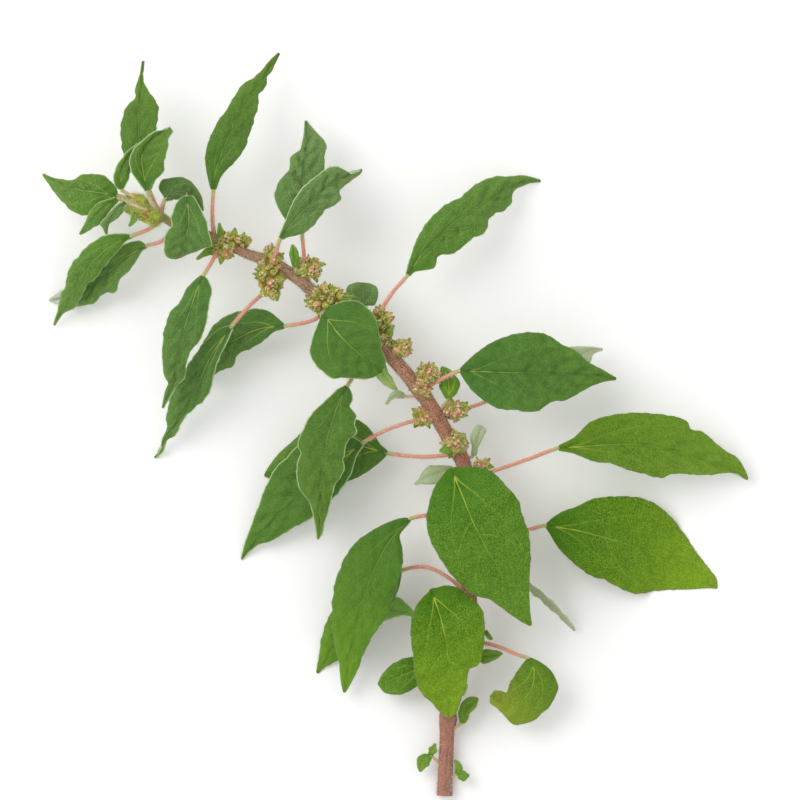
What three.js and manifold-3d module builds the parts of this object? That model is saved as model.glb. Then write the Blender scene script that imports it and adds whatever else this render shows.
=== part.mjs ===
// A cut sprig of pellitory-of-the-wall, lying on a surface and seen from above.
// Millimetres, +Z up. The origin is on the surface, under the middle of the sprig.
import * as THREE from 'three';
import { mergeVertices } from 'three/addons/utils/BufferGeometryUtils.js';
import Module from 'manifold-3d';

const wasm = await Module();
wasm.setup();

// Driving dimensions
const BLADE_THICKNESS = 0.65;
const BLADE_BASE_HALF = 0.7;
const BLADE_TIP_HALF = 0.32;
const BLADE_PUFF = 0.45;
const BLADE_HALF_COLUMNS = 2;
const SMALL_BLADE_HALF_COLUMNS = 1;
const ROW_LENGTH = 4.6;
const FEWEST_ROWS = 4;
const MOST_ROWS = 13;
const SEAT_GAP = 0.3;
const STEM_SIDES = 8;
const STEM_RINGS = 34;
const PETIOLE_SIDES = 5;
const PETIOLE_STEP = 6;
const PETIOLE_ROOT_RADIUS = 0.85;
const PETIOLE_END_RADIUS = 0.62;
const FEWEST_PETIOLE_RINGS = 2;
const STALK_RADIUS = 0.5;
const STALK_RINGS = 2;
const NODE_SWELL = 0.24;
const NODE_REACH = 2.4;
const FLORET_RADIUS = 1.5;
const FLORET_LOBES = 4;
const CORE_SPREAD = 1.12;
const WELD_DISTANCE = 1e-5;
const UP = new THREE.Vector3(0, 0, 1);

// Stem axis from the cut end to the top: x, y, z and radius
const STEM_KNOTS = [
  [12.0, -92.8, 1.8, 2.0],
  [12.1, -89.5, 1.8, 1.85],
  [12.4, -83.5, 2.4, 1.8],
  [12.9, -73.0, 4.2, 1.8],
  [14.6, -61.5, 6.2, 1.8],
  [17.0, -50.0, 8.2, 1.85],
  [18.2, -41.0, 9.6, 1.85],
  [18.4, -31.0, 10.8, 1.85],
  [18.4, -18.5, 12.8, 1.85],
  [16.6, -9.0, 14.3, 1.85],
  [12.9, -2.5, 15.2, 1.85],
  [7.6, 6.5, 16.2, 1.8],
  [3.1, 12.3, 16.8, 1.75],
  [-1.6, 17.8, 17.3, 1.7],
  [-6.1, 24.5, 17.8, 1.65],
  [-11.6, 29.5, 18.2, 1.6],
  [-20.4, 33.3, 18.6, 1.55],
  [-24.6, 36.8, 18.8, 1.5],
  [-31.6, 41.0, 19.0, 1.35],
  [-37.4, 43.0, 19.2, 1.2],
  [-47.9, 47.8, 19.6, 1.1],
  [-55.4, 50.3, 20.0, 1.0],
  [-59.9, 53.3, 20.4, 0.8],
];

// Swollen nodes of the stem, each nearest to x, y
const STEM_NODES = [
  [12.9, -73.4],
  [16.2, -54.8],
  [17.8, -43.5],
  [18.6, -24.8],
  [18.4, -13.0],
  [15.4, -4.8],
  [7.1, 9.5],
  [-2.9, 25.3],
  [-15.4, 30.8],
  [-31.6, 41.0],
  [-45.4, 46.5],
];

// Blades. rib is the midrib from base to tip (x, y, z); left and right are the points that each
// edge passes in plan, seen while looking from base to tip; rise is how far each edge stands above
// the rib; wave holds the height, number and phase of the waves of the edge; from is the place on
// the stem that the stalk leaves, and way the points that the stalk passes.
const LEAVES = [
  {
    name: 'leaf_01',
    rib: [[9.0, -40.7, 15.4], [9.4, -42.9, 16.4], [10.9, -47.5, 17.6], [12.4, -54.0, 17.6],
      [12.9, -59.8, 15.6], [13.1, -66.5, 12.6], [13.3, -72.9, 9.5]],
    left: [[12.4, -39.8], [15.1, -40.3], [17.4, -41.8], [19.9, -43.8], [21.6, -46.5],
      [22.0, -49.8], [21.9, -53.5], [21.6, -56.5], [20.6, -59.3], [18.4, -60.5], [17.5, -64.3],
      [16.4, -67.5], [15.1, -71.5]],
    right: [[8.1, -41.3], [5.9, -43.5], [4.1, -46.8], [3.5, -51.0], [4.1, -57.3], [4.6, -62.3],
      [6.1, -66.5], [8.9, -69.3], [10.6, -71.3], [11.9, -72.5]],
    rise: [0.8, 0.9],
    wave: [0.5, 2.2, 0.4],
    from: [18.0, -42.5],
    way: [[13.8, -41.0, 11.5], [10.2, -41.2, 14.0]],
  },
  {
    name: 'leaf_02',
    rib: [[7.9, -60.5, 6.4], [3.9, -61.5, 6.4], [-0.4, -63.3, 5.6], [-4.6, -64.8, 4.0]],
    left: [[7.1, -63.6], [4.9, -65.3], [2.1, -67.0], [-0.4, -67.3], [-3.0, -66.8]],
    right: [[6.2, -58.3], [3.9, -57.8], [0.1, -59.0], [-2.6, -61.0], [-4.0, -63.0]],
    rise: [0.5, 0.6],
    wave: [0.3, 1.5, 0.2],
    from: [16.0, -62.0],
    way: [],
  },
  {
    name: 'leaf_03',
    rib: [[33.1, -58.2, 10.5], [34.4, -61.5, 12], [33.6, -66.0, 11], [30.1, -69.3, 8.6],
      [26.4, -69.3, 8.8], [23.6, -67.5, 11.4]],
    left: [[36.6, -59.5], [39.1, -61.8], [40.3, -64.8], [39.4, -68.5], [37.1, -71.5], [31.6, -74.8],
      [28.9, -74.5], [26.9, -72.3], [25.1, -70.6], [23.4, -69.3]],
    right: [[31.1, -60.0], [28.6, -64.0], [27.3, -66.8], [25.9, -66.3], [24.4, -66.3]],
    rise: [-2.2, -0.8],
    wave: [0.4, 2.0, 0],
    from: [16.3, -54.2],
    way: [[22.2, -54.4, 8.2], [26.2, -55.5, 9.2], [30.4, -57.3, 9.9]],
  },
  {
    name: 'leaf_04',
    rib: [[4.1, -47.1, 4.8], [-1.6, -45.8, 4.4], [-7.1, -47.3, 3.2], [-11.6, -49.8, 2.0]],
    left: [[1.6, -47.5], [-2.6, -48.7], [-7.1, -50.2]],
    right: [[2.6, -44.6], [1.1, -43.3], [-0.6, -42.7], [-4.1, -43.0], [-8.6, -45.0]],
    rise: [0.3, 0.3],
    wave: [0.2, 1.5, 0],
    from: [17.4, -50.0],
    way: [[10.0, -48.0, 5.6]],
  },
  {
    name: 'leaf_05',
    rib: [[0.9, -36.3, 9.2], [-5.4, -41.5, 8.4], [-11.6, -49.0, 5.5], [-16.1, -56.0, 2.6],
      [-19.9, -62.0, 0.1]],
    left: [[0.4, -41.0], [-2.9, -47.3], [-7.1, -53.0], [-11.1, -56.8], [-14.6, -58.8],
      [-17.9, -60.5]],
    right: [[-2.9, -36.0], [-9.1, -38.5], [-13.6, -42.5], [-16.6, -47.3], [-18.4, -51.5],
      [-19.4, -57.3]],
    rise: [-0.5, -0.4],
    wave: [0.4, 2.2, 0.8],
    from: [17.9, -43.0],
    way: [[13.9, -38.6, 11.4], [7.4, -35.3, 11.0]],
  },
  {
    name: 'leaf_06',
    rib: [[3.1, -23.3, 14], [-1.6, -28.5, 15.4], [-5.4, -35.5, 15.4], [-8.4, -43.5, 13.5],
      [-10.6, -52.3, 10.5], [-12.1, -59.8, 7], [-13.1, -66.8, 4]],
    left: [[2.1, -25.5], [0.8, -27.3], [1.4, -30.3], [1.6, -33.5], [0.9, -37.3], [-0.1, -41.3],
      [-2.6, -47.5], [-6.4, -53.3], [-8.4, -57.5], [-9.9, -61.5], [-11.4, -64.5]],
    right: [[-0.1, -23.3], [-5.9, -26.0], [-10.4, -29.3], [-12.6, -32.3], [-13.6, -34.3],
      [-15.6, -40.3], [-16.1, -47.0], [-15.6, -54.3], [-14.4, -59.5], [-13.9, -64.3]],
    rise: [0.6, -0.8],
    wave: [0.7, 2.6, 0.6],
    from: [18.6, -24.8],
    way: [[11.0, -22.3, 14.5]],
  },
  {
    name: 'leaf_07',
    rib: [[29.4, -37.0, 9.0], [37.4, -43.7, 7.2], [41.5, -47.7, 4.6], [44.7, -51.3, 2.2]],
    left: [[33.8, -39.6], [38.1, -43.0], [42.0, -47.2]],
    right: [[31.6, -39.8], [36.8, -44.3], [41.0, -48.1]],
    rise: [3.0, -2.6],
    wave: [0.2, 2.0, 0],
    from: [18.4, -32.0],
    way: [],
  },
  {
    name: 'leaf_08',
    rib: [[14.1, -10.4, 21.2], [14.6, -12.8, 22.3], [16.6, -17.8, 24], [19.1, -24.0, 25], [22.4, -30.5, 24.5],
      [25.9, -36.5, 22], [29.6, -43.5, 18.5], [33.6, -49.8, 15]],
    left: [[15.6, -10.2], [18.4, -10.2], [21.1, -10.3], [24.4, -11.8], [27.4, -15.0],
      [30.4, -18.5], [31.1, -21.5], [32.9, -26.5], [33.4, -32.5], [33.1, -39.8], [33.4, -46.5]],
    right: [[13.0, -10.6], [11.1, -12.8], [9.1, -16.0], [7.9, -20.3], [7.4, -23.0], [8.4, -28.3],
      [10.9, -33.0], [14.1, -37.5], [18.9, -41.8], [23.6, -43.5], [28.4, -47.0], [31.4, -49.0]],
    rise: [0.6, 0.6],
    wave: [0.6, 3.0, 0.4],
    from: [18.4, -18.5],
    way: [[16.9, -14.6, 17.0]],
  },
  {
    name: 'leaf_09',
    rib: [[37.5, -24.9, 9.5], [45.9, -26.3, 10.2], [54.1, -28.5, 8.2], [60.5, -30.6, 4.6],
      [65.6, -32.8, 1.2], [70.4, -35.2, -0.6], [75.6, -38.0, -0.6], [80.4, -40.6, -0.4]],
    left: [[38.5, -23.4], [41.3, -21.5], [45.4, -20.0], [48.9, -18.3], [55.0, -17.6],
      [61.1, -18.0], [65.3, -19.8], [68.8, -22.8], [71.9, -26.7], [75.0, -31.3], [78.5, -35.9],
      [80.3, -38.4]],
    right: [[38.3, -26.9], [40.5, -30.5], [44.9, -34.8], [49.5, -37.9], [51.5, -38.2],
      [54.6, -39.9], [59.6, -42.0], [66.8, -41.2], [73.9, -41.0], [78.5, -40.7]],
    rise: [0.5, 0.1],
    wave: [0.3, 2.6, 0],
    from: [18.4, -26.5],
    way: [[28.0, -27.0, 10.8]],
  },
  {
    name: 'leaf_10',
    rib: [[40.6, -5.5, 13.5], [48.4, -5.0, 14.2], [55.9, -4.5, 14], [63.4, -5.0, 12.6],
      [70.9, -6.8, 10], [79.6, -9.3, 6.5], [88.1, -13.3, 3]],
    left: [[44.4, -2.8], [48.4, 1.0], [54.1, 2.8], [60.9, 3.3], [68.9, 2.5], [72.1, 1.5],
      [73.9, -0.8], [76.6, -1.5], [79.1, -3.5], [82.1, -6.0], [85.4, -8.0], [87.1, -10.5]],
    right: [[43.9, -6.8], [49.9, -9.0], [53.4, -9.3], [57.9, -11.0], [62.1, -12.0],
      [66.1, -13.0], [68.9, -12.0], [76.9, -12.3], [85.4, -11.9]],
    rise: [0.6, 0.7],
    wave: [0.6, 3.0, 0.7],
    from: [18.0, -13.5],
    way: [[32.0, -8.6, 13.5]],
  },
  {
    name: 'leaf_11',
    rib: [[-2.4, -6.8, 9.2], [-10.4, -5.0, 9.0], [-17.9, -6.5, 6.4], [-25.4, -9.0, 3],
      [-33.1, -12.5, 0.2]],
    left: [[-4.1, -9.0], [-6.6, -11.0], [-9.6, -12.8], [-13.4, -14.3], [-17.9, -15.3],
      [-24.1, -15.0], [-29.1, -14.0]],
    right: [[-4.1, -4.5], [-5.9, -1.8], [-8.6, 1.0], [-12.9, 1.8], [-19.1, 0.5], [-24.1, -2.0],
      [-27.1, -4.8], [-29.6, -7.0], [-31.9, -10.0]],
    rise: [-0.6, -0.4],
    wave: [0.4, 2.4, 0],
    from: [15.6, -7.0],
    way: [[7.0, -7.7, 12]],
  },
  {
    name: 'leaf_12',
    rib: [[-8.6, -4.3, 14.5], [-15.4, -9.8, 14], [-24.1, -17.3, 10], [-32.1, -24.8, 5.5],
      [-38.9, -33.5, 0.2]],
    left: [[-9.9, -7.5], [-11.6, -12.5], [-16.1, -18.5], [-21.1, -23.0], [-26.1, -25.8],
      [-30.6, -28.5], [-34.4, -29.8], [-36.6, -31.5]],
    right: [[-11.1, -2.6], [-16.6, -2.0], [-21.6, -3.0], [-24.9, -5.0], [-27.1, -7.5],
      [-29.9, -10.0], [-31.6, -12.8], [-33.1, -16.0], [-34.9, -20.8], [-36.6, -25.3],
      [-38.1, -29.3]],
    rise: [-0.5, 0.6],
    wave: [0.5, 2.4, 0],
    from: [9.6, 3.0],
    way: [[-2.0, -0.8, 15]],
  },
  {
    name: 'leaf_13',
    rib: [[-12.4, 9.8, 20], [-14.6, 5.3, 21.5], [-17.1, -2.3, 22.5], [-18.6, -9.8, 21],
      [-19.1, -18.5, 17.5], [-19.6, -28.3, 13]],
    left: [[-11.1, 8.2], [-10.9, 6.5], [-11.6, 4.8], [-9.9, 2.5], [-10.4, 0.8], [-9.9, -1.5],
      [-12.1, -3.8], [-13.1, -7.3], [-13.1, -11.0], [-15.6, -15.5], [-16.6, -19.8],
      [-17.9, -24.0], [-18.4, -26.8]],
    right: [[-14.6, 9.3], [-17.6, 6.5], [-21.4, 2.8], [-23.4, -1.0], [-24.6, -4.3], [-24.0, -6.5],
      [-24.9, -10.0], [-24.6, -14.5], [-22.9, -17.5], [-21.4, -20.0], [-20.4, -24.8]],
    rise: [-0.6, 0.6],
    wave: [0.7, 2.8, 0.5],
    from: [-3.0, 20.0],
    way: [[-9.0, 14.5, 18.2]],
  },
  {
    name: 'leaf_14',
    rib: [[23.4, 6.5, 12.5], [35.9, 12.0, 12], [44.6, 17.0, 9.5], [48.9, 19.0, 8], [51.6, 19.2, 7]],
    left: [[27.1, 10.3], [34.6, 16.0], [40.9, 19.0], [44.6, 19.9], [48.9, 19.8]],
    right: [[28.4, 6.0], [37.1, 7.8], [44.6, 11.5], [48.4, 15.8], [49.4, 18.0]],
    rise: [0.6, 0.4],
    wave: [0.4, 2.0, 0],
    from: [9.3, 3.5],
    way: [[16.9, 4.3, 14]],
  },
  {
    name: 'leaf_15',
    rib: [[15.9, 13.8, 19], [23.4, 13.5, 20.5], [30.9, 13.3, 21], [39.6, 13.0, 19.5],
      [48.4, 12.8, 15.5], [54.9, 11.8, 12]],
    left: [[17.4, 16.0], [20.9, 19.0], [25.1, 21.5], [31.6, 23.3], [37.6, 22.8], [40.9, 20.5],
      [44.4, 19.0], [47.9, 16.0], [51.6, 14.0]],
    right: [[16.9, 11.5], [18.9, 8.8], [21.9, 6.3], [25.6, 4.3], [29.6, 4.0], [33.4, 3.5],
      [36.6, 4.5], [38.6, 6.0], [42.4, 6.5], [45.9, 8.5], [50.9, 10.8]],
    rise: [0.7, 0.7],
    wave: [0.6, 3.0, 0.9],
    from: [6.1, 9.0],
    way: [[11.6, 11.9, 18]],
  },
  {
    name: 'leaf_16',
    rib: [[-18.4, 28.1, 22.9], [-16.9, 26.2, 24.4], [-13.6, 22.0, 26], [-9.1, 17.8, 25.5], [-5.6, 15.0, 23],
      [-3.7, 13.4, 20]],
    left: [[-16.1, 30.0], [-12.1, 31.3], [-8.9, 30.8], [-5.6, 27.5], [-4.4, 23.8],
      [-3.9, 20.0], [-2.6, 16.0]],
    right: [[-18.9, 27.2], [-21.1, 21.5], [-21.6, 18.5], [-20.6, 15.8], [-16.4, 12.0],
      [-13.4, 12.0], [-9.6, 11.7], [-6.1, 12.0]],
    rise: [-0.6, -0.6],
    wave: [0.4, 2.0, 0],
    from: [-14.6, 30.6],
    way: [[-16.6, 28.6, 20.5]],
  },
  {
    name: 'leaf_17',
    rib: [[2.9, 37.8, 16.5], [6.9, 43.5, 17.2], [13.4, 50.0, 16], [20.9, 55.3, 12.5],
      [27.1, 59.3, 7.6], [32.1, 61.3, 3.4], [36.1, 61.5, 0.1]],
    left: [[3.1, 41.0], [5.4, 47.3], [8.4, 51.8], [13.4, 56.0], [15.9, 57.0], [18.9, 59.8],
      [23.9, 62.3], [27.6, 62.5], [32.1, 62.8]],
    right: [[4.6, 38.5], [9.4, 39.5], [10.4, 42.3], [14.6, 43.3], [18.9, 46.8], [21.9, 48.3],
      [24.1, 53.0], [26.9, 53.8], [28.6, 55.8], [29.6, 59.0], [33.4, 60.8]],
    rise: [0.8, -1.0],
    wave: [0.6, 3.0, 0.2],
    from: [-5.4, 25.5],
    way: [[-1.2, 33.0, 17.8]],
  },
  {
    name: 'leaf_18',
    rib: [[-28.1, 25.0, 12], [-33.6, 24.5, 10.8], [-39.6, 22.0, 8.6], [-45.1, 18.0, 6],
      [-50.1, 12.5, 3]],
    left: [[-30.6, 23.5], [-33.1, 21.5], [-36.1, 19.5], [-39.6, 18.0], [-41.1, 15.0],
      [-44.1, 13.8], [-47.1, 12.0]],
    right: [[-29.1, 26.5], [-31.6, 28.5], [-34.4, 29.3], [-37.6, 29.0], [-42.1, 27.8],
      [-45.4, 25.5], [-48.4, 21.0], [-49.9, 16.5]],
    rise: [-0.4, 0.4],
    wave: [0.4, 2.0, 0.4],
    from: [-15.4, 30.8],
    way: [[-20.5, 26.6, 14.5]],
  },
  {
    name: 'leaf_19',
    rib: [[-41.4, 24.6, 17.4], [-46.1, 17.8, 16.5], [-49.6, 10.3, 12.5], [-54.6, 1.5, 7.5],
      [-58.1, -3.5, 4], [-60.6, -8.0, 0.2]],
    left: [[-41.7, 22.0], [-44.4, 16.5], [-45.4, 13.3], [-46.4, 9.0], [-48.6, 6.0], [-52.1, 3.0],
      [-53.6, 1.0], [-55.4, -2.5], [-57.4, -3.6], [-58.4, -6.5]],
    right: [[-43.6, 24.6], [-47.4, 21.5], [-50.6, 17.5], [-54.1, 12.0], [-56.6, 7.0],
      [-57.6, 3.0], [-57.6, -0.5], [-58.6, -3.0], [-59.4, -6.0]],
    rise: [0.4, -0.6],
    wave: [0.6, 3.0, 0.2],
    from: [-31.6, 41.0],
    way: [[-32.5, 34.5, 16.0], [-37.2, 29.5, 17.4]],
  },
  {
    name: 'leaf_20',
    rib: [[-48.2, 37.3, 24], [-50.0, 33.0, 24.6], [-52.0, 27.0, 24.2], [-53.9, 20.3, 22.5],
      [-55.4, 12.8, 19], [-58.4, 4.5, 13.5]],
    left: [[-46.9, 36.4], [-45.9, 33.8], [-46.4, 31.5], [-47.1, 27.0], [-48.6, 22.0],
      [-51.4, 18.3], [-52.4, 15.5], [-52.6, 12.5], [-54.6, 10.3], [-56.4, 7.3]],
    right: [[-50.1, 36.5], [-52.1, 34.5], [-53.9, 31.0], [-56.4, 28.3], [-57.6, 25.0],
      [-58.2, 21.5], [-58.4, 17.5], [-58.1, 13.3], [-57.1, 11.0], [-57.9, 8.3]],
    rise: [-0.4, -0.4],
    wave: [0.6, 3.0, 0.6],
    from: [-43.6, 46.0],
    way: [[-46.2, 40.6, 22.5]],
  },
  {
    name: 'leaf_21',
    rib: [[-28.9, 46.8, 24], [-26.1, 50.3, 25.2], [-21.1, 55.8, 26], [-16.6, 60.3, 24.5],
      [-12.6, 62.5, 22], [-8.6, 64.0, 19]],
    left: [[-29.0, 48.2], [-27.4, 52.0], [-26.1, 55.0], [-24.1, 58.5], [-21.6, 61.0],
      [-18.6, 63.3], [-16.6, 64.6], [-14.6, 64.7], [-12.9, 63.7], [-11.2, 62.9], [-9.9, 63.2]],
    right: [[-27.1, 47.0], [-23.1, 48.0], [-20.1, 50.5], [-18.1, 53.5], [-14.9, 55.3],
      [-13.9, 56.8], [-14.1, 58.5], [-11.6, 61.0], [-9.1, 62.7]],
    rise: [0.6, -0.6],
    wave: [0.5, 2.4, 0.3],
    from: [-31.0, 41.0],
    way: [[-29.9, 43.8, 22.2]],
  },
  {
    name: 'leaf_22',
    rib: [[-23.6, 48.5, 18.6], [-23.6, 56.5, 19], [-23.1, 65.3, 15.5], [-22.4, 71.5, 11.5],
      [-22.7, 76.4, 8]],
    left: [[-26.6, 50.3], [-28.9, 53.3], [-30.4, 57.3], [-29.6, 60.5], [-26.9, 64.0],
      [-26.4, 67.0], [-24.1, 69.3], [-23.3, 72.5]],
    right: [[-20.6, 50.5], [-18.9, 55.3], [-18.1, 61.5], [-17.9, 68.0], [-17.4, 70.0],
      [-18.9, 72.3], [-20.9, 74.5]],
    rise: [0.4, 0.5],
    wave: [0.6, 2.6, 0.8],
    from: [-23.4, 36.5],
    way: [[-23.1, 42.0, 18.8]],
  },
  {
    name: 'leaf_23',
    rib: [[-45.6, 59.0, 22], [-45.2, 63.0, 22.8], [-42.1, 71.5, 23.5], [-38.4, 79.8, 19.5],
      [-34.6, 85.5, 14.5], [-29.4, 93.3, 8]],
    left: [[-47.2, 62.8], [-47.6, 67.5], [-45.6, 73.8], [-42.1, 79.3], [-38.6, 85.0],
      [-34.4, 88.1], [-31.9, 91.3]],
    right: [[-43.6, 62.3], [-40.1, 66.0], [-38.1, 68.7], [-36.1, 74.5], [-34.6, 79.8],
      [-34.1, 83.3], [-32.4, 85.3], [-32.4, 87.0], [-31.1, 89.0]],
    rise: [0.6, -0.5],
    wave: [0.5, 3.0, 0.5],
    from: [-45.6, 46.8],
    way: [[-45.9, 53.0, 21.2]],
  },
  {
    name: 'leaf_24',
    rib: [[-52.2, 57.2, 25.4], [-51.9, 54.6, 27.2], [-51.6, 51.0, 28.6], [-52.4, 46.0, 28], [-53.6, 43.2, 25.4],
      [-55.2, 41.7, 21.5]],
    left: [[-50.6, 57.2], [-48.9, 54.5], [-47.1, 50.5], [-46.4, 47.0], [-45.7, 45.0],
      [-47.6, 44.3], [-50.6, 43.3], [-53.1, 42.2]],
    right: [[-53.4, 57.0], [-54.9, 55.3], [-56.1, 51.3], [-55.9, 49.8], [-57.4, 48.0],
      [-57.9, 45.0], [-57.6, 42.6], [-56.6, 41.8]],
    rise: [0.5, 0.5],
    wave: [0.4, 2.0, 0],
    from: [-53.0, 49.4],
    way: [[-52.6, 54.0, 22.6]],
  },
  {
    name: 'leaf_25',
    rib: [[-57.6, 56.6, 22.6], [-54.4, 58.6, 20.6], [-50.8, 57.2, 16.4], [-48.4, 53.8, 12.6]],
    left: [[-59.2, 59.2], [-58.6, 61.2], [-56.2, 61.9], [-53.7, 62.0], [-51.8, 61.5],
      [-50.2, 59.8], [-48.6, 57.0]],
    right: [[-55.4, 56.4], [-53.0, 56.6], [-50.4, 54.8]],
    rise: [0.2, -0.2],
    wave: [0.2, 1.6, 0],
    from: [-58.6, 52.6],
    way: [],
  },
  {
    name: 'leaf_26',
    rib: [[-62.6, 45.0, 14], [-67.9, 42.0, 12], [-72.9, 37.8, 9], [-79.1, 33.5, 5],
      [-87.1, 31.5, 0.2]],
    left: [[-63.4, 43.8], [-64.6, 42.0], [-66.4, 39.3], [-69.4, 36.3], [-70.1, 33.8],
      [-73.9, 32.8], [-75.4, 31.0], [-79.1, 30.0], [-83.6, 30.5]],
    right: [[-64.1, 46.3], [-67.6, 45.6], [-72.1, 43.0], [-76.6, 39.0], [-81.1, 35.5],
      [-85.1, 33.3]],
    rise: [-0.5, 0.4],
    wave: [0.5, 2.6, 0.4],
    from: [-54.6, 50.0],
    way: [[-58.9, 46.0, 16.6]],
  },
  {
    name: 'leaf_27',
    rib: [[-66.4, 47.3, 18], [-71.1, 45.0, 17.8], [-75.4, 41.5, 15.8], [-79.1, 36.8, 12],
      [-82.1, 32.0, 8], [-84.0, 28.8, 5], [-85.9, 25.3, 1.6]],
    left: [[-67.2, 46.3], [-69.4, 43.8], [-72.6, 40.3], [-75.1, 37.0], [-77.6, 35.0],
      [-79.1, 31.8], [-81.1, 29.3], [-83.4, 28.2]],
    right: [[-68.1, 48.0], [-71.4, 47.9], [-74.1, 47.0], [-77.1, 45.0], [-80.9, 40.8],
      [-82.6, 37.5], [-82.6, 35.3], [-83.9, 33.5], [-84.6, 30.3]],
    rise: [-0.8, -0.4],
    wave: [0.4, 2.6, 0],
    from: [-58.2, 51.6],
    way: [[-61.6, 49.2, 19.4]],
  },
  {
    name: 'leaf_28',
    rib: [[-61.6, 59.0, 22.8], [-63.9, 69.0, 22], [-64.4, 77.8, 18], [-63.9, 84.0, 13.8],
      [-63.4, 91.3, 9]],
    left: [[-64.6, 61.6], [-67.3, 66.0], [-68.6, 70.8], [-68.6, 76.0], [-67.1, 80.0],
      [-65.4, 82.0], [-65.1, 85.0], [-64.2, 88.0]],
    right: [[-60.2, 61.2], [-59.7, 66.5], [-59.9, 73.0], [-59.6, 77.0], [-59.4, 79.5],
      [-61.4, 83.0], [-63.2, 86.0]],
    rise: [0.5, 0.4],
    wave: [0.5, 2.6, 0.8],
    from: [-58.8, 52.6],
    way: [[-60.2, 55.4, 21.6]],
  },
  {
    name: 'leaf_29',
    rib: [[-62.0, 58.6, 27], [-62.9, 62.8, 27], [-63.4, 66.5, 27.6], [-62.3, 69.6, 28],
      [-60.2, 72.0, 27.8], [-56.3, 74.3, 26.2]],
    left: [[-64.4, 60.8], [-66.1, 63.5], [-66.4, 66.5], [-65.4, 68.8], [-63.9, 70.4],
      [-61.8, 72.2], [-60.1, 73.4], [-58.0, 73.6]],
    right: [[-59.9, 61.2], [-57.9, 63.2], [-57.7, 65.8], [-56.8, 69.2], [-56.6, 71.5],
      [-55.6, 73.4]],
    rise: [0.8, 1.8],
    wave: [0.3, 1.6, 0],
    from: [-59.6, 53.0],
    way: [[-61.4, 56.4, 23.8]],
  },
  {
    name: 'leaf_30',
    rib: [[-68.6, 59.0, 24.4], [-68.4, 63.5, 25.2], [-66.6, 67.3, 25.2], [-62.6, 71.0, 24]],
    left: [[-70.1, 59.8], [-70.4, 62.5], [-69.4, 65.0], [-68.0, 67.3], [-65.6, 69.7]],
    right: [[-67.4, 60.0], [-66.4, 62.5], [-65.9, 65.0], [-65.2, 67.3], [-63.7, 69.3]],
    rise: [0.8, -0.8],
    wave: [0.3, 1.6, 0],
    from: [-59.9, 53.2],
    way: [[-65.6, 57.2, 22.8]],
  },
  {
    name: 'leaf_31',
    rib: [[-69.6, 57.5, 20.6], [-74.6, 58.3, 20], [-79.6, 59.0, 18], [-84.1, 60.8, 14.5],
      [-88.4, 62.9, 11]],
    left: [[-72.1, 54.5], [-74.6, 53.0], [-76.9, 52.5], [-79.5, 52.9], [-82.6, 55.1],
      [-85.6, 58.6]],
    right: [[-69.9, 59.6], [-71.2, 61.0], [-72.9, 62.4], [-77.9, 62.8], [-80.8, 61.5],
      [-85.3, 61.9]],
    rise: [-0.6, 0.4],
    wave: [0.4, 2.2, 0],
    from: [-59.8, 53.0],
    way: [[-65.0, 56.0, 20.4]],
  },
  {
    name: 'leaf_32',
    rib: [[-69.6, 56.5, 23.6], [-72.9, 54.3, 23.6], [-76.1, 51.0, 21.6], [-79.0, 47.9, 17.5]],
    left: [[-71.4, 53.6], [-73.1, 51.0], [-74.4, 50.2], [-77.3, 48.4]],
    right: [[-71.6, 56.6], [-74.7, 55.4], [-76.1, 53.8], [-76.9, 52.3], [-78.1, 50.0]],
    rise: [-0.5, 0.3],
    wave: [0.2, 1.6, 0],
    from: [-59.6, 53.0],
    way: [[-65.2, 55.0, 22.0]],
  },
  {
    name: 'leaf_33',
    rib: [[-67.4, 55.6, 26.2], [-70.2, 52.8, 26.2], [-71.9, 50.2, 24.4], [-72.3, 47.8, 21.4]],
    left: [[-67.4, 54.9], [-68.0, 53.2], [-69.3, 51.9], [-71.1, 50.8], [-71.8, 49.6]],
    right: [[-69.4, 55.2], [-72.1, 52.5], [-73.8, 50.3], [-73.1, 49.1]],
    rise: [-0.4, 0.3],
    wave: [0.2, 1.6, 0],
    from: [-59.6, 53.0],
    way: [[-63.8, 54.4, 24.0]],
  },
];

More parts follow.
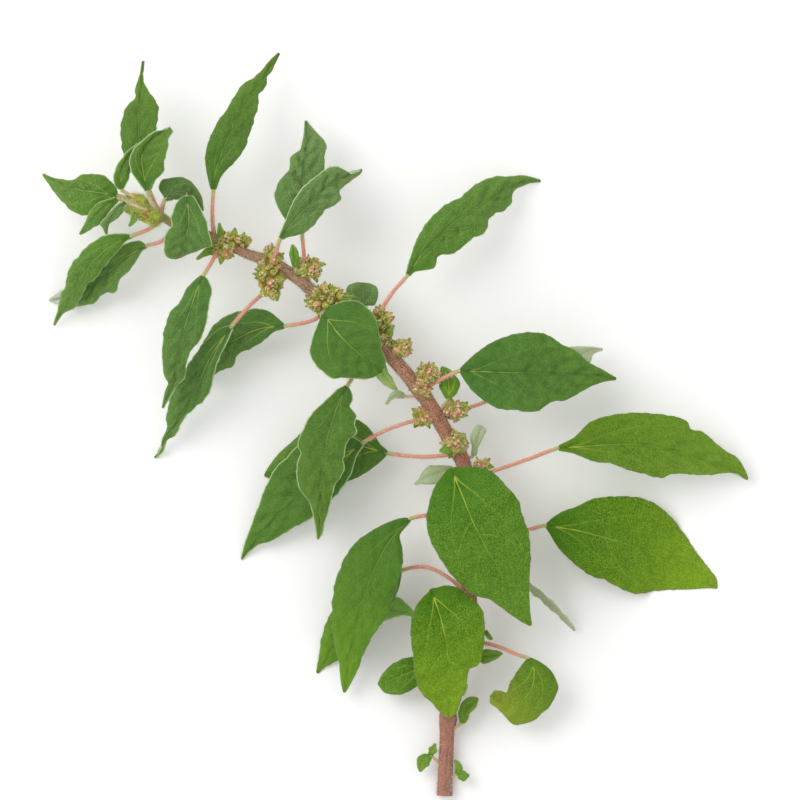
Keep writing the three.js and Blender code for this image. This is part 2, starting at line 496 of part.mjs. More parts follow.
const SMALL_LEAVES = [
  {
    name: 'small_leaf_01',
    rib: [[20.4, -57.5, 8.4], [23.4, -57.5, 8.8], [26.5, -56.9, 8.4]],
    left: [[22.1, -56.0], [24.4, -56.1]],
    right: [[21.6, -59.5], [23.9, -58.9]],
    rise: [0.2, 0.2],
    from: [16.8, -58.0],
    way: [],
  },
  {
    name: 'small_leaf_02',
    rib: [[16.4, -74.4, 5.4], [17.4, -71.3, 6.2], [20.4, -68.1, 6.6]],
    left: [[15.6, -71.3], [16.6, -69.0], [18.5, -67.8]],
    right: [[17.7, -73.9], [18.5, -71.8], [20.0, -70.3]],
    rise: [0.2, 0.2],
    from: [14.4, -76.6],
    way: [],
  },
  {
    name: 'small_leaf_03',
    rib: [[12.9, 6.8, 16.2], [13.1, 9.5, 15.6], [12.4, 13.0, 14.4], [11.3, 14.8, 13.4]],
    left: [[10.9, 9.3], [10.8, 12.4]],
    right: [[15.1, 8.3], [15.8, 10.3], [14.9, 12.5], [13.1, 14.3]],
    rise: [0.2, 0.2],
    from: [10.0, 2.6],
    way: [],
  },
  {
    name: 'small_leaf_04',
    rib: [[19.3, -7.3, 14.4], [20.0, -4.0, 14.2], [21.6, 0.0, 13.4]],
    left: [[18.8, -5.3], [18.6, -2.6], [19.3, -0.5], [20.4, 0.3]],
    right: [[20.9, -4.0], [22.4, -1.3]],
    rise: [0.3, -0.3],
    from: [16.4, -8.6],
    way: [],
  },
  {
    name: 'small_leaf_05',
    rib: [[13.9, -10.6, 10.4], [9.9, -12.3, 9.8], [6.9, -13.3, 8.6], [4.6, -14.6, 7]],
    left: [[12.6, -13.2], [9.6, -14.6], [6.4, -14.5]],
    right: [[12.0, -9.9], [8.4, -10.0], [6.5, -11.4], [5.7, -13.0]],
    rise: [0.3, -0.3],
    from: [17.4, -11.6],
    way: [],
  },
  {
    name: 'small_leaf_06',
    rib: [[1.9, 7.5, 14.2], [-0.1, 7.8, 14.2], [-2.6, 5.5, 12.6]],
    left: [[0.6, 7.0], [-1.1, 6.5]],
    right: [[0.9, 8.8], [-0.1, 8.9], [-1.4, 8.0]],
    rise: [-0.2, 0.2],
    from: [7.0, 7.4],
    way: [],
  },
  {
    name: 'small_leaf_07',
    rib: [[-25.2, 39.6, 21.6], [-25.5, 42.4, 23.2], [-25.9, 45.2, 24]],
    left: [[-26.3, 41.0], [-26.6, 43.5]],
    right: [[-24.3, 40.5], [-24.5, 43.5]],
    rise: [0.1, 0.1],
    from: [-24.8, 36.8],
    way: [],
  },
  {
    name: 'small_leaf_08',
    rib: [[-7.9, 30.0, 15.2], [-8.4, 32.5, 14.2], [-8.1, 35.8, 12]],
    left: [[-10.4, 30.6], [-12.6, 33.0], [-12.1, 35.0], [-10.1, 35.9]],
    right: [[-5.4, 30.3], [-4.6, 33.0], [-5.1, 34.8], [-6.6, 35.7]],
    rise: [0.3, 0.3],
    from: [-8.6, 27.2],
    way: [],
  },
  {
    name: 'small_leaf_09',
    rib: [[-6.4, 17.5, 16.2], [-3.0, 12.8, 15], [0.1, 9.1, 13]],
    left: [[-3.6, 16.6], [-2.1, 13.8], [-0.9, 11.5]],
    right: [[-6.4, 15.2], [-5.2, 12.6], [-3.1, 10.3], [-1.4, 9.3]],
    rise: [0.2, -0.2],
    from: [-4.4, 21.6],
    way: [],
  },
  {
    name: 'small_leaf_10',
    rib: [[22.1, -51.4, 9.6], [23.0, -52.4, 9.8], [23.9, -53.4, 9.4]],
    left: [[22.9, -51.5], [23.7, -52.4]],
    right: [[22.1, -52.3], [22.9, -53.2]],
    rise: [0.1, 0.1],
    from: [17.2, -49.4],
    way: [],
  },
  {
    name: 'small_leaf_11',
    rib: [[16.3, -67.3, 7.8], [17.0, -66.0, 8.2], [17.7, -64.7, 8.0]],
    left: [[16.1, -66.2], [16.6, -65.2]],
    right: [[17.3, -66.9], [17.8, -65.6]],
    rise: [0.1, 0.1],
    from: [15.2, -68.6],
    way: [],
  },
];

// Two short side shoots near the cut end, each of two pointed-oval leaves on a common stalk;
// half is the greatest half width of a leaf
const SHOOTS = [
  {
    name: 'shoot_left',
    fork: [8.9, -82.8, 3.6],
    from: [12.6, -86.0],
    blades: [
      { rib: [[8.5, -82.8, 3.8], [6.8, -84.0, 4.0], [5.9, -86.7, 3.2]], half: 1.8 },
      { rib: [[8.6, -82.4, 3.8], [9.2, -81.0, 4.4], [9.7, -79.6, 4.2]], half: 1.1 },
    ],
  },
  {
    name: 'shoot_right',
    fork: [15.0, -87.6, 3.2],
    from: [12.4, -88.4],
    blades: [
      { rib: [[15.2, -87.3, 3.4], [15.6, -85.4, 3.8], [14.6, -83.8, 3.2]], half: 1.1 },
      { rib: [[15.4, -87.7, 3.4], [16.9, -87.7, 3.8], [18.2, -87.6, 3.2]], half: 1.4 },
    ],
  },
];

// Flower clusters: each lump has a centre, the half sizes of its core and a number of florets;
// bracts are narrow pointed leaves that stand out from the flowers
const CLUSTERS = [
  {
    name: 'flowers_01',
    lumps: [{ at: [21.3, -9.9, 14.2], core: [1.1, 0.8, 1.0], florets: 4 }],
    bracts: [{ rib: [[22.0, -9.8, 14.2], [20.6, -10.3, 14.2], [18.6, -11.0, 14.0]], half: 0.7 }],
  },
  {
    name: 'flowers_02',
    lumps: [{ at: [14.7, -4.3, 15.4], core: [2.3, 2.0, 2.6], florets: 9 }],
    bracts: [{ rib: [[14.0, -5.0, 17.2], [12.4, -5.8, 17.6], [10.8, -6.2, 16.8]], half: 1.5 }],
  },
  {
    name: 'flowers_03',
    lumps: [{ at: [6.9, 2.4, 15.4], core: [2.0, 1.5, 1.6], florets: 7 }],
    bracts: [],
  },
  {
    name: 'flowers_04',
    lumps: [{ at: [14.4, 3.9, 15.2], core: [2.4, 1.6, 1.7], florets: 7 }],
    bracts: [],
  },
  {
    name: 'flowers_05',
    lumps: [
      { at: [7.7, 13.3, 17.2], core: [2.1, 1.5, 1.9], florets: 6 },
      { at: [6.5, 9.9, 17.0], core: [1.5, 1.9, 2.4], florets: 5 },
    ],
    bracts: [],
  },
  {
    name: 'flowers_06',
    lumps: [{ at: [1.4, 19.4, 17.6], core: [1.7, 1.5, 1.7], florets: 6 }],
    bracts: [],
  },
  {
    name: 'flowers_07',
    lumps: [{ at: [-3.9, 24.4, 17.6], core: [2.1, 4.8, 2.2], florets: 10 }],
    bracts: [{ rib: [[-3.2, 22.4, 18.8], [-1.6, 23.6, 19.6], [-0.6, 25.2, 19.2]], half: 0.7 }],
  },
  {
    name: 'flowers_08',
    lumps: [{ at: [-17.3, 31.3, 18.4], core: [4.3, 3.1, 2.6], florets: 11 }],
    bracts: [
      { rib: [[-20.8, 31.6, 19.4], [-22.0, 31.0, 19.8], [-23.0, 31.4, 19.2]], half: 0.8 },
      { rib: [[-13.8, 31.0, 19.2], [-12.2, 31.8, 20.2], [-10.6, 32.6, 20.0]], half: 0.8 },
    ],
  },
  {
    name: 'flowers_09',
    lumps: [{ at: [-21.6, 39.4, 19.2], core: [2.3, 2.0, 1.9], florets: 7 }],
    bracts: [],
  },
  {
    name: 'flowers_10',
    lumps: [{ at: [-31.4, 38.4, 19.0], core: [2.7, 5.8, 2.4], florets: 12 }],
    bracts: [{ rib: [[-30.4, 34.6, 19.4], [-29.6, 32.8, 20.0], [-29.8, 31.2, 19.6]], half: 0.8 }],
  },
  {
    name: 'flowers_11',
    lumps: [
      { at: [-43.2, 44.7, 19.2], core: [2.0, 2.4, 2.4], florets: 6 },
      { at: [-40.6, 46.2, 19.4], core: [3.4, 1.6, 2.2], florets: 5 },
    ],
    bracts: [
      { rib: [[-44.6, 44.2, 19.8], [-47.2, 43.4, 20.6], [-49.8, 41.6, 19.4]], half: 1.0 },
      { rib: [[-43.6, 46.6, 20.4], [-43.9, 48.6, 21.0], [-44.2, 50.6, 20.4]], half: 0.9 },
    ],
  },
  {
    name: 'apex_bud',
    lumps: [
      { at: [-64.3, 54.8, 21.6], core: [2.4, 2.6, 2.2], florets: 7 },
      { at: [-60.4, 52.2, 21.0], core: [1.8, 2.0, 1.8], florets: 4 },
    ],
    bracts: [{ rib: [[-64.8, 53.2, 23.4], [-65.4, 51.4, 23.8], [-66.6, 49.8, 23.0]], half: 0.9 }],
  },
];

const COLOURS = {
  stem: 0xa4705c,
  lowerLeaf: 0x5f8c2b,
  upperLeaf: 0x5b8447,
  youngLeaf: 0x668f45,
  flowers: 0x8e8a42,
};
const ROUGHNESS = { stem: 0.75, leaf: 0.6, flowers: 0.85 };
const LOWER_LEAF_COUNT = 15;
const FIRST_CLUSTER_SEED = 11;

// A repeatable row of numbers from 0 to 1
function randomSource(seed) {
  let state = seed >>> 0;
  return () => {
    state = (state + 0x6d2b79f5) >>> 0;
    let mixed = Math.imul(state ^ (state >>> 15), 1 | state);
    mixed = (mixed + Math.imul(mixed ^ (mixed >>> 7), 61 | mixed)) ^ mixed;
    return ((mixed ^ (mixed >>> 14)) >>> 0) / 2 ** 32;
  };
}

function curveThrough(points) {
  const vectors = points.map((point) => new THREE.Vector3(point[0], point[1], point[2]));
  return new THREE.CatmullRomCurve3(vectors);
}

// The level direction to the left of a direction of travel
function levelLeft(along) {
  return new THREE.Vector3().crossVectors(UP, along).normalize();
}

// Frames carried along a curve without twist; the side vector starts level, on the left
function carriedFrames(curve, parameters) {
  const FINE_STEPS = 160;
  const fine = [];
  let side = null;
  for (let step = 0; step <= FINE_STEPS; step += 1) {
    const along = curve.getTangent(step / FINE_STEPS);
    if (side === null) {
      side = levelLeft(along);
    } else {
      side = side.clone().addScaledVector(along, -side.dot(along)).normalize();
    }
    fine.push({ along, side, normal: new THREE.Vector3().crossVectors(along, side) });
  }
  return parameters.map((u) => {
    const frame = fine[Math.round(u * FINE_STEPS)];
    return { ...frame, place: curve.getPoint(u) };
  });
}

function rowParameters(rows) {
  const EVEN_SHARE = 0.45;
  const list = [];
  for (let row = 0; row <= rows; row += 1) {
    const even = row / rows;
    const bunched = (1 - Math.cos(Math.PI * even)) / 2;
    list.push(EVEN_SHARE * even + (1 - EVEN_SHARE) * bunched);
  }
  return list;
}

// The plan of one edge of a blade, from the end of the stalk to the tip
function edgeCurve(rib, points, sign) {
  const start = rib.getPoint(0).addScaledVector(levelLeft(rib.getTangent(0)), sign * BLADE_BASE_HALF);
  const end = rib.getPoint(1).addScaledVector(levelLeft(rib.getTangent(1)), sign * BLADE_TIP_HALF);
  const plan = [[start.x, start.y], ...points, [end.x, end.y]];
  return curveThrough(plan.map(([x, y]) => [x, y, 0]));
}

// The middle surface of a blade: v runs from -1 on the right edge to 1 on the left edge
function bladePoint(leaf, rib, edges, u, v) {
  const STILL = [0, 1, 0];
  const sign = v >= 0 ? 1 : -1;
  const share = Math.abs(v);
  const centre = rib.getPointAt(u);
  const edge = (v >= 0 ? edges.left : edges.right).getPointAt(u);
  const arch = Math.sin(Math.PI * u);
  const rise = v >= 0 ? leaf.rise[0] : leaf.rise[1];
  const [height, count, phase] = leaf.wave ?? STILL;
  const wave = height * share ** 2 * Math.sin(2 * Math.PI * (count * u + phase * sign));
  const puff = (leaf.puff ?? BLADE_PUFF) * Math.sin(Math.PI * share);
  return new THREE.Vector3(
    centre.x + (edge.x - centre.x) * share,
    centre.y + (edge.y - centre.y) * share,
    centre.z + rise * share * Math.sqrt(arch) + (wave + puff) * arch,
  );
}

// One closed blade: an upper and a lower face on the same grid of triangles, and a rim.
// Where the blade lies on the surface its lower face is pressed flat.
function bladeGeometry(leaf, halfColumns) {
  const rib = curveThrough(leaf.rib);
  const edges = { left: edgeCurve(rib, leaf.left, 1), right: edgeCurve(rib, leaf.right, -1) };
  const longest = Math.max(rib.getLength(), edges.left.getLength(), edges.right.getLength());
  const rows = Math.min(Math.max(Math.round(longest / ROW_LENGTH), FEWEST_ROWS), MOST_ROWS);
  const columns = halfColumns * 2;
  const middle = rowParameters(rows).map((u) => {
    const line = [];
    for (let column = 0; column <= columns; column += 1) {
      line.push(bladePoint(leaf, rib, edges, u, column / halfColumns - 1));
    }
    return line;
  });
  const upper = [];
  const lower = [];
  for (let row = 0; row <= rows; row += 1) {
    for (let column = 0; column <= columns; column += 1) {
      const before = middle[Math.max(row - 1, 0)][column];
      const after = middle[Math.min(row + 1, rows)][column];
      const right = middle[row][Math.max(column - 1, 0)];
      const left = middle[row][Math.min(column + 1, columns)];
      const along = new THREE.Vector3().subVectors(after, before);
      const across = new THREE.Vector3().subVectors(left, right);
      const normal = new THREE.Vector3().crossVectors(along, across).normalize();
      const top = middle[row][column].clone().addScaledVector(normal, BLADE_THICKNESS / 2);
      const bottom = middle[row][column].clone().addScaledVector(normal, -BLADE_THICKNESS / 2);
      const sunk = Math.min(top.z, bottom.z);
      if (sunk < 0) {
        top.z -= sunk;
        bottom.z -= sunk;
      }
      upper.push(top);
      lower.push(bottom);
    }
  }
  const width = columns + 1;
  const offset = upper.length;
  const triangles = [];
  for (let row = 0; row < rows; row += 1) {
    for (let column = 0; column < columns; column += 1) {
      const a = row * width + column;
      const b = a + 1;
      const c = a + width;
      const d = c + 1;
      if (column < halfColumns) {
        triangles.push(a, c, b, b, c, d);
        triangles.push(offset + a, offset + b, offset + c, offset + b, offset + d, offset + c);
      } else {
        triangles.push(a, c, d, a, d, b);
        triangles.push(offset + a, offset + d, offset + c, offset + a, offset + b, offset + d);
      }
    }
  }
  const rim = [];
  for (let column = 0; column < columns; column += 1) {
    rim.push(column);
  }
  for (let row = 0; row < rows; row += 1) {
    rim.push(row * width + columns);
  }
  for (let column = columns; column > 0; column -= 1) {
    rim.push(rows * width + column);
  }
  for (let row = rows; row > 0; row -= 1) {
    rim.push(row * width);
  }
  rim.forEach((start, index) => {
    const end = rim[(index + 1) % rim.length];
    triangles.push(start, end, offset + start, end, offset + end, offset + start);
  });
  return facingOut(closedGeometry([...upper, ...lower], triangles));
}

function closedGeometry(points, triangles) {
  const geometry = new THREE.BufferGeometry();
  geometry.setFromPoints(points);
  geometry.setIndex(triangles);
  return geometry;
}

function signedVolume(geometry) {
  const place = geometry.getAttribute('position');
  const index = geometry.getIndex();
  const [a, b, c] = [new THREE.Vector3(), new THREE.Vector3(), new THREE.Vector3()];
  let volume = 0;
  for (let corner = 0; corner < index.count; corner += 3) {
    a.fromBufferAttribute(place, index.getX(corner));
    b.fromBufferAttribute(place, index.getX(corner + 1));
    c.fromBufferAttribute(place, index.getX(corner + 2));
    volume += a.dot(b.cross(c)) / 6;
  }
  return volume;
}

function facingOut(geometry) {
  if (signedVolume(geometry) < 0) {
    const index = Array.from(geometry.getIndex().array);
    for (let corner = 0; corner < index.length; corner += 3) {
      [index[corner + 1], index[corner + 2]] = [index[corner + 2], index[corner + 1]];
    }
    geometry.setIndex(index);
  }
  return geometry;
}

// A closed limb of round section along a curve; radiusAt gives its radius at u
function limbGeometry(curve, radiusAt, sides, rings) {
  const parameters = [];
  for (let ring = 0; ring <= rings; ring += 1) {
    parameters.push(ring / rings);
  }
  const frames = carriedFrames(curve, parameters);
  const points = [];
  const triangles = [];
  frames.forEach((frame, ring) => {
    const radius = radiusAt(parameters[ring], frame.place);
    for (let side = 0; side < sides; side += 1) {
      const angle = (2 * Math.PI * (side + 0.5)) / sides - Math.PI / 2;
      const point = frame.place.clone()
        .addScaledVector(frame.side, -radius * Math.cos(angle))
        .addScaledVector(frame.normal, radius * Math.sin(angle));
      point.z = Math.max(point.z, 0);
      points.push(point);
    }
  });
  for (let ring = 0; ring < rings; ring += 1) {
    for (let side = 0; side < sides; side += 1) {
      const next = (side + 1) % sides;
      const a = ring * sides + side;
      const b = ring * sides + next;
      triangles.push(a, b, a + sides, b, b + sides, a + sides);
    }
  }
  for (let side = 1; side < sides - 1; side += 1) {
    const end = rings * sides;
    triangles.push(0, side + 1, side);
    triangles.push(end, end + side, end + side + 1);
  }
  return facingOut(closedGeometry(points, triangles));
}

const stemCurve = curveThrough(STEM_KNOTS);

function stemPlaceNear(x, y) {
  const SAMPLES = 600;
  let best = null;
  let bestDistance = Infinity;
  for (let sample = 0; sample <= SAMPLES; sample += 1) {
    const place = stemCurve.getPoint(sample / SAMPLES);
    const distance = Math.hypot(place.x - x, place.y - y);
    if (distance < bestDistance) {
      bestDistance = distance;
      best = place;
    }
  }
  return best;
}

function stemRadiusAt(u, place) {
  const span = u * (STEM_KNOTS.length - 1);
  const knot = Math.min(Math.floor(span), STEM_KNOTS.length - 2);
  const share = span - knot;
  const radius = STEM_KNOTS[knot][3] * (1 - share) + STEM_KNOTS[knot + 1][3] * share;
  const swell = STEM_NODES.reduce((sum, [x, y]) => {
    const distance = Math.hypot(place.x - x, place.y - y);
    return sum + NODE_SWELL * Math.exp(-((distance / NODE_REACH) ** 2));
  }, 0);
  return radius * (1 + swell);
}

function petioleCurve(leaf) {
  const root = stemPlaceNear(...leaf.from);
  const [first, second] = leaf.rib.map((point) => new THREE.Vector3(...point));
  const back = new THREE.Vector3().subVectors(first, second).normalize();
  const end = first.clone().addScaledVector(back, SEAT_GAP);
  return curveThrough([root.toArray(), ...leaf.way, end.toArray()]);
}

function petioleGeometry(leaf, extra = 0) {
  const curve = petioleCurve(leaf);
  const rings = Math.max(Math.round(curve.getLength() / PETIOLE_STEP), FEWEST_PETIOLE_RINGS);
  const radiusAt = (u) => extra + PETIOLE_ROOT_RADIUS * (1 - u) + PETIOLE_END_RADIUS * u;
  return limbGeometry(curve, radiusAt, PETIOLE_SIDES, rings);
}

function stemGeometry(extra = 0) {
  const radiusAt = (u, place) => extra + stemRadiusAt(u, place);
  return limbGeometry(stemCurve, radiusAt, STEM_SIDES, STEM_RINGS);
}

function solidOf(geometry) {
  const plain = geometry.clone();
  plain.deleteAttribute('normal');
  plain.deleteAttribute('uv');
  const merged = mergeVertices(plain, WELD_DISTANCE);
  const mesh = new wasm.Mesh({
    numProp: 3,
    vertProperties: new Float32Array(merged.getAttribute('position').array),
    triVerts: new Uint32Array(merged.getIndex().array),
  });
  return new wasm.Manifold(mesh);
}

function geometryOf(solid) {
  const mesh = solid.getMesh();
  const geometry = new THREE.BufferGeometry();
  geometry.setAttribute('position', new THREE.BufferAttribute(mesh.vertProperties, 3));
  geometry.setIndex(new THREE.BufferAttribute(mesh.triVerts, 1));
  return geometry;
}

function joined(geometries) {
  return geometries.map(solidOf).reduce((whole, solid) => whole.add(solid));
}

function largestBody(solid) {
  const bodies = solid.decompose();
  return bodies.reduce((best, body) => (body.volume() > best.volume() ? body : best));
}

// A floret: four pointed lobes round a shallow cup, its root drawn out to a point
function floretGeometry(radius) {
  const ROOT = -1.3;
  const CUP_FLOOR = 0.1;
  const LOBE_TIP = 0.7;
  const shares = [new THREE.Vector3(0, 0, ROOT), new THREE.Vector3(0, 0, CUP_FLOOR)];
  for (let lobe = 0; lobe < FLORET_LOBES; lobe += 1) {
    const angle = (2 * Math.PI * lobe) / FLORET_LOBES;
    shares.push(new THREE.Vector3(Math.cos(angle), Math.sin(angle), LOBE_TIP));
  }
  const points = shares.map((share) => share.multiplyScalar(radius));
  const triangles = [];
  for (let lobe = 0; lobe < FLORET_LOBES; lobe += 1) {
    const a = 2 + lobe;
    const b = 2 + ((lobe + 1) % FLORET_LOBES);
    triangles.push(0, b, a);
    triangles.push(1, a, b);
  }
  return facingOut(closedGeometry(points, triangles));
}

// Florets spread evenly over the core's upper and outer sides, with a small seeded scatter
function lumpGeometries(lump, random) {
  const GOLDEN = Math.PI * (3 - Math.sqrt(5));
  const LOWEST = -0.45;
  const ANGLE_SCATTER = 0.5;
  const SMALLEST = 0.85;
  const SIZE_SCATTER = 0.3;
  const centre = new THREE.Vector3(...lump.at);
  const half = new THREE.Vector3(...lump.core);
  const core = new THREE.IcosahedronGeometry(CORE_SPREAD, 0);
  core.scale(half.x, half.y, half.z);
  core.translate(centre.x, centre.y, centre.z);
  const pieces = [core];
  for (let count = 0; count < lump.florets; count += 1) {
    const lift = 1 - ((1 - LOWEST) * (count + 0.5)) / lump.florets;
    const ring = Math.sqrt(1 - lift * lift);
    const angle = count * GOLDEN + ANGLE_SCATTER * random();
    const facing = new THREE.Vector3(ring * Math.cos(angle), ring * Math.sin(angle), lift);
    const floret = floretGeometry(FLORET_RADIUS * (SMALLEST + SIZE_SCATTER * random()));
    floret.rotateZ(2 * Math.PI * random());
    floret.applyQuaternion(new THREE.Quaternion().setFromUnitVectors(UP, facing));
    const seat = facing.clone().multiply(half).add(centre);
    floret.translate(seat.x, seat.y, seat.z);
    pieces.push(floret);
  }
  return pieces;
}

// A pointed-oval blade: its edges pass these shares of the half width at these places on the rib
function ovalGeometry({ rib, half }) {
  const OVAL = [[0.2, 0.75], [0.45, 1], [0.75, 0.6]];
  const EDGE_RISE = 0.2;
  const curve = curveThrough(rib);
  const edge = (sign) => OVAL.map(([u, share]) => {
    const place = curve.getPointAt(u);
    place.addScaledVector(levelLeft(curve.getTangentAt(u)), sign * half * share);
    return [place.x, place.y];
  });
  const rise = [EDGE_RISE, EDGE_RISE];
  const leaf = { rib, left: edge(1), right: edge(-1), rise, puff: 0 };
  return bladeGeometry(leaf, SMALL_BLADE_HALF_COLUMNS);
}

function clusterSolid(cluster, seed) {
  const random = randomSource(seed);
  const lumps = cluster.lumps.flatMap((lump) => lumpGeometries(lump, random));
  return joined([...lumps, ...cluster.bracts.map(ovalGeometry)]);
}

function shootSolid(shoot) {
  const root = stemPlaceNear(...shoot.from);
  const stalkCurve = curveThrough([root.toArray(), shoot.fork]);
  const stalk = limbGeometry(stalkCurve, () => STALK_RADIUS, PETIOLE_SIDES, STALK_RINGS);
  return joined([stalk, ...shoot.blades.map(ovalGeometry)]);
}

const group = new THREE.Group();

function place(name, geometry, colour, roughness) {
  geometry.computeVertexNormals();
  const material = new THREE.MeshStandardMaterial({ color: colour, roughness, metalness: 0 });
  const mesh = new THREE.Mesh(geometry, material);
  mesh.name = name;
  group.add(mesh);
}

const allLeaves = [...LEAVES, ...SMALL_LEAVES];
const stemSolid = joined([stemGeometry(), ...allLeaves.map((leaf) => petioleGeometry(leaf))]);
const clearance = joined([
  stemGeometry(SEAT_GAP),
  ...allLeaves.map((leaf) => petioleGeometry(leaf, SEAT_GAP)),
]);

// What is left of a solid beside the stem and the stalks
function besideStem(solid) {
  if (solid.intersect(clearance).isEmpty()) {
    return solid;
  }
  return largestBody(solid.subtract(clearance));
}

place('stem', geometryOf(stemSolid), COLOURS.stem, ROUGHNESS.stem);
LEAVES.forEach((leaf, index) => {
  const colour = index < LOWER_LEAF_COUNT ? COLOURS.lowerLeaf : COLOURS.upperLeaf;
  const solid = besideStem(solidOf(bladeGeometry(leaf, BLADE_HALF_COLUMNS)));
  place(leaf.name, geometryOf(solid), colour, ROUGHNESS.leaf);
});
SMALL_LEAVES.forEach((leaf) => {
  const solid = besideStem(solidOf(bladeGeometry(leaf, SMALL_BLADE_HALF_COLUMNS)));
  place(leaf.name, geometryOf(solid), COLOURS.youngLeaf, ROUGHNESS.leaf);
});
SHOOTS.forEach((shoot) => {
  const solid = besideStem(shootSolid(shoot));
  place(shoot.name, geometryOf(solid), COLOURS.youngLeaf, ROUGHNESS.leaf);
});
CLUSTERS.forEach((cluster, index) => {
  const solid = besideStem(clusterSolid(cluster, FIRST_CLUSTER_SEED + index));
  place(cluster.name, geometryOf(solid), COLOURS.flowers, ROUGHNESS.flowers);
});

export default group;
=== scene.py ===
"""Looks of a cut sprig of pellitory-of-the-wall that lies on a pale surface, seen from above.

The drawn lines of every blade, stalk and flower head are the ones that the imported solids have, in
millimetres; the meshes here are finer, and carry veins, hairs and florets.
"""

from __future__ import annotations

import logging
import math
from collections.abc import Sequence
from dataclasses import dataclass, field
from enum import Enum

import bpy
import numpy as np
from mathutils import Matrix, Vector


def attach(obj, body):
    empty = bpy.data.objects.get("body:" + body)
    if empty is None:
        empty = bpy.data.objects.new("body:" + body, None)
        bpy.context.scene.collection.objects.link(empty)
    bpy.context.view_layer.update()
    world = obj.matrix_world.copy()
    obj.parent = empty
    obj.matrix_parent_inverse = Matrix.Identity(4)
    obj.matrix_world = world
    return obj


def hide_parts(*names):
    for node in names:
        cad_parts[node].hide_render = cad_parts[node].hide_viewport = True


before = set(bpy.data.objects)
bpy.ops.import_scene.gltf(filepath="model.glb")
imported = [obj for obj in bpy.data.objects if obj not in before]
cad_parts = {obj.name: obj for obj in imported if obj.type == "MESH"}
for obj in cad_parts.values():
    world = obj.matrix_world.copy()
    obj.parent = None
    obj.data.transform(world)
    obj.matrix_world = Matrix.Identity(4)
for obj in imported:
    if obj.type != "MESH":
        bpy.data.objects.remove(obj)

LOG = logging.getLogger("sprig")
BODY = "root"
MM = 0.001
FIRST_SEED = 1201
SHOOT_SEED = FIRST_SEED + 100
TWIG_SEED = FIRST_SEED + 150
STALK_SEED = FIRST_SEED + 200
HEAD_SEED = FIRST_SEED + 300
BRACT_SEED = FIRST_SEED + 400

Point = tuple[float, ...]
Line = tuple[Point, ...]
Array = np.ndarray
Material = bpy.types.Material
Socket = bpy.types.NodeSocket


class LeafTone(Enum):
    """The kinds of green on the sprig, from the sunlit lower leaves to the downy top ones."""

    SUNNY = "sunny"
    GRASSY = "grassy"
    LUSH = "lush"
    BRIGHT = "bright"
    CURLED = "curled"
    FRESH = "fresh"
    MID = "mid"
    DEEP = "deep"
    SOFT = "soft"
    FADED = "faded"
    DOWNY = "downy"
    PALE = "pale"
    LIGHT = "light"
    YOUNG = "young"


@dataclass(frozen=True)
class Leaf:
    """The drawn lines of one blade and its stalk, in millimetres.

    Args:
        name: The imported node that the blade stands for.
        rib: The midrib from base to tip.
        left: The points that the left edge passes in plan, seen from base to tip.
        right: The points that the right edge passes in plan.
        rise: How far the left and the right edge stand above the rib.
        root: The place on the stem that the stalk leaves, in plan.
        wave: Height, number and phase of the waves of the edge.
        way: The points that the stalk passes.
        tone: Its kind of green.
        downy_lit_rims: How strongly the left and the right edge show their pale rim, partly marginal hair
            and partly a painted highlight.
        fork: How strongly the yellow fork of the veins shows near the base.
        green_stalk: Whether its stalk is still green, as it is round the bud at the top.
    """

    name: str
    rib: Line
    left: Line
    right: Line
    rise: Point
    root: Point
    wave: Point = (0.0, 1.0, 0.0)
    way: Line = ()
    tone: LeafTone = LeafTone.MID
    downy_lit_rims: Point = (0.1, 0.1)
    fork: float = 0.14
    green_stalk: bool = False


@dataclass(frozen=True)
class Oval:
    """A pointed-oval blade: its rib, and its greatest half width in millimetres."""

    rib: Line
    half: float


@dataclass(frozen=True)
class Shoot:
    """A short side shoot: two oval blades on one stalk from the stem."""

    name: str
    fork: Point
    root: Point
    blades: tuple[Oval, ...]


@dataclass(frozen=True)
class Lump:
    """One lump of a flower head: its centre, the half sizes of its core and its florets."""

    at: Point
    core: Point
    florets: int


@dataclass(frozen=True)
class Cluster:
    """A flower head: its lumps, and the narrow leaves that stand out of it."""

    name: str
    lumps: tuple[Lump, ...]
    bracts: tuple[Oval, ...] = ()


# Stem axis from the cut end to the top: x, y, z and radius, and the places of its swollen nodes
STEM_KNOTS = (
    (12, -92.8, 1.8, 2), (12.1, -89.5, 1.8, 1.85), (12.4, -83.5, 2.4, 1.8), (12.9, -73, 4.2, 1.8),
    (14.6, -61.5, 6.2, 1.8), (17, -50, 8.2, 1.85), (18.2, -41, 9.6, 1.85), (18.4, -31, 10.8, 1.85),
    (18.4, -18.5, 12.8, 1.85), (16.6, -9, 14.3, 1.85), (12.9, -2.5, 15.2, 1.85), (7.6, 6.5, 16.2, 1.8),
    (3.1, 12.3, 16.8, 1.75), (-1.6, 17.8, 17.3, 1.7), (-6.1, 24.5, 17.8, 1.65), (-11.6, 29.5, 18.2, 1.6),
    (-20.4, 33.3, 18.6, 1.55), (-24.6, 36.8, 18.8, 1.5), (-31.6, 41, 19, 1.35), (-37.4, 43, 19.2, 1.2),
    (-47.9, 47.8, 19.6, 1.1), (-55.4, 50.3, 20, 1), (-59.9, 53.3, 20.4, 0.8),
)

STEM_NODES = (
    (12.9, -73.4), (16.2, -54.8), (17.8, -43.5), (18.6, -24.8), (18.4, -13), (15.4, -4.8), (7.1, 9.5),
    (-2.9, 25.3), (-15.4, 30.8), (-31.6, 41), (-45.4, 46.5),
)

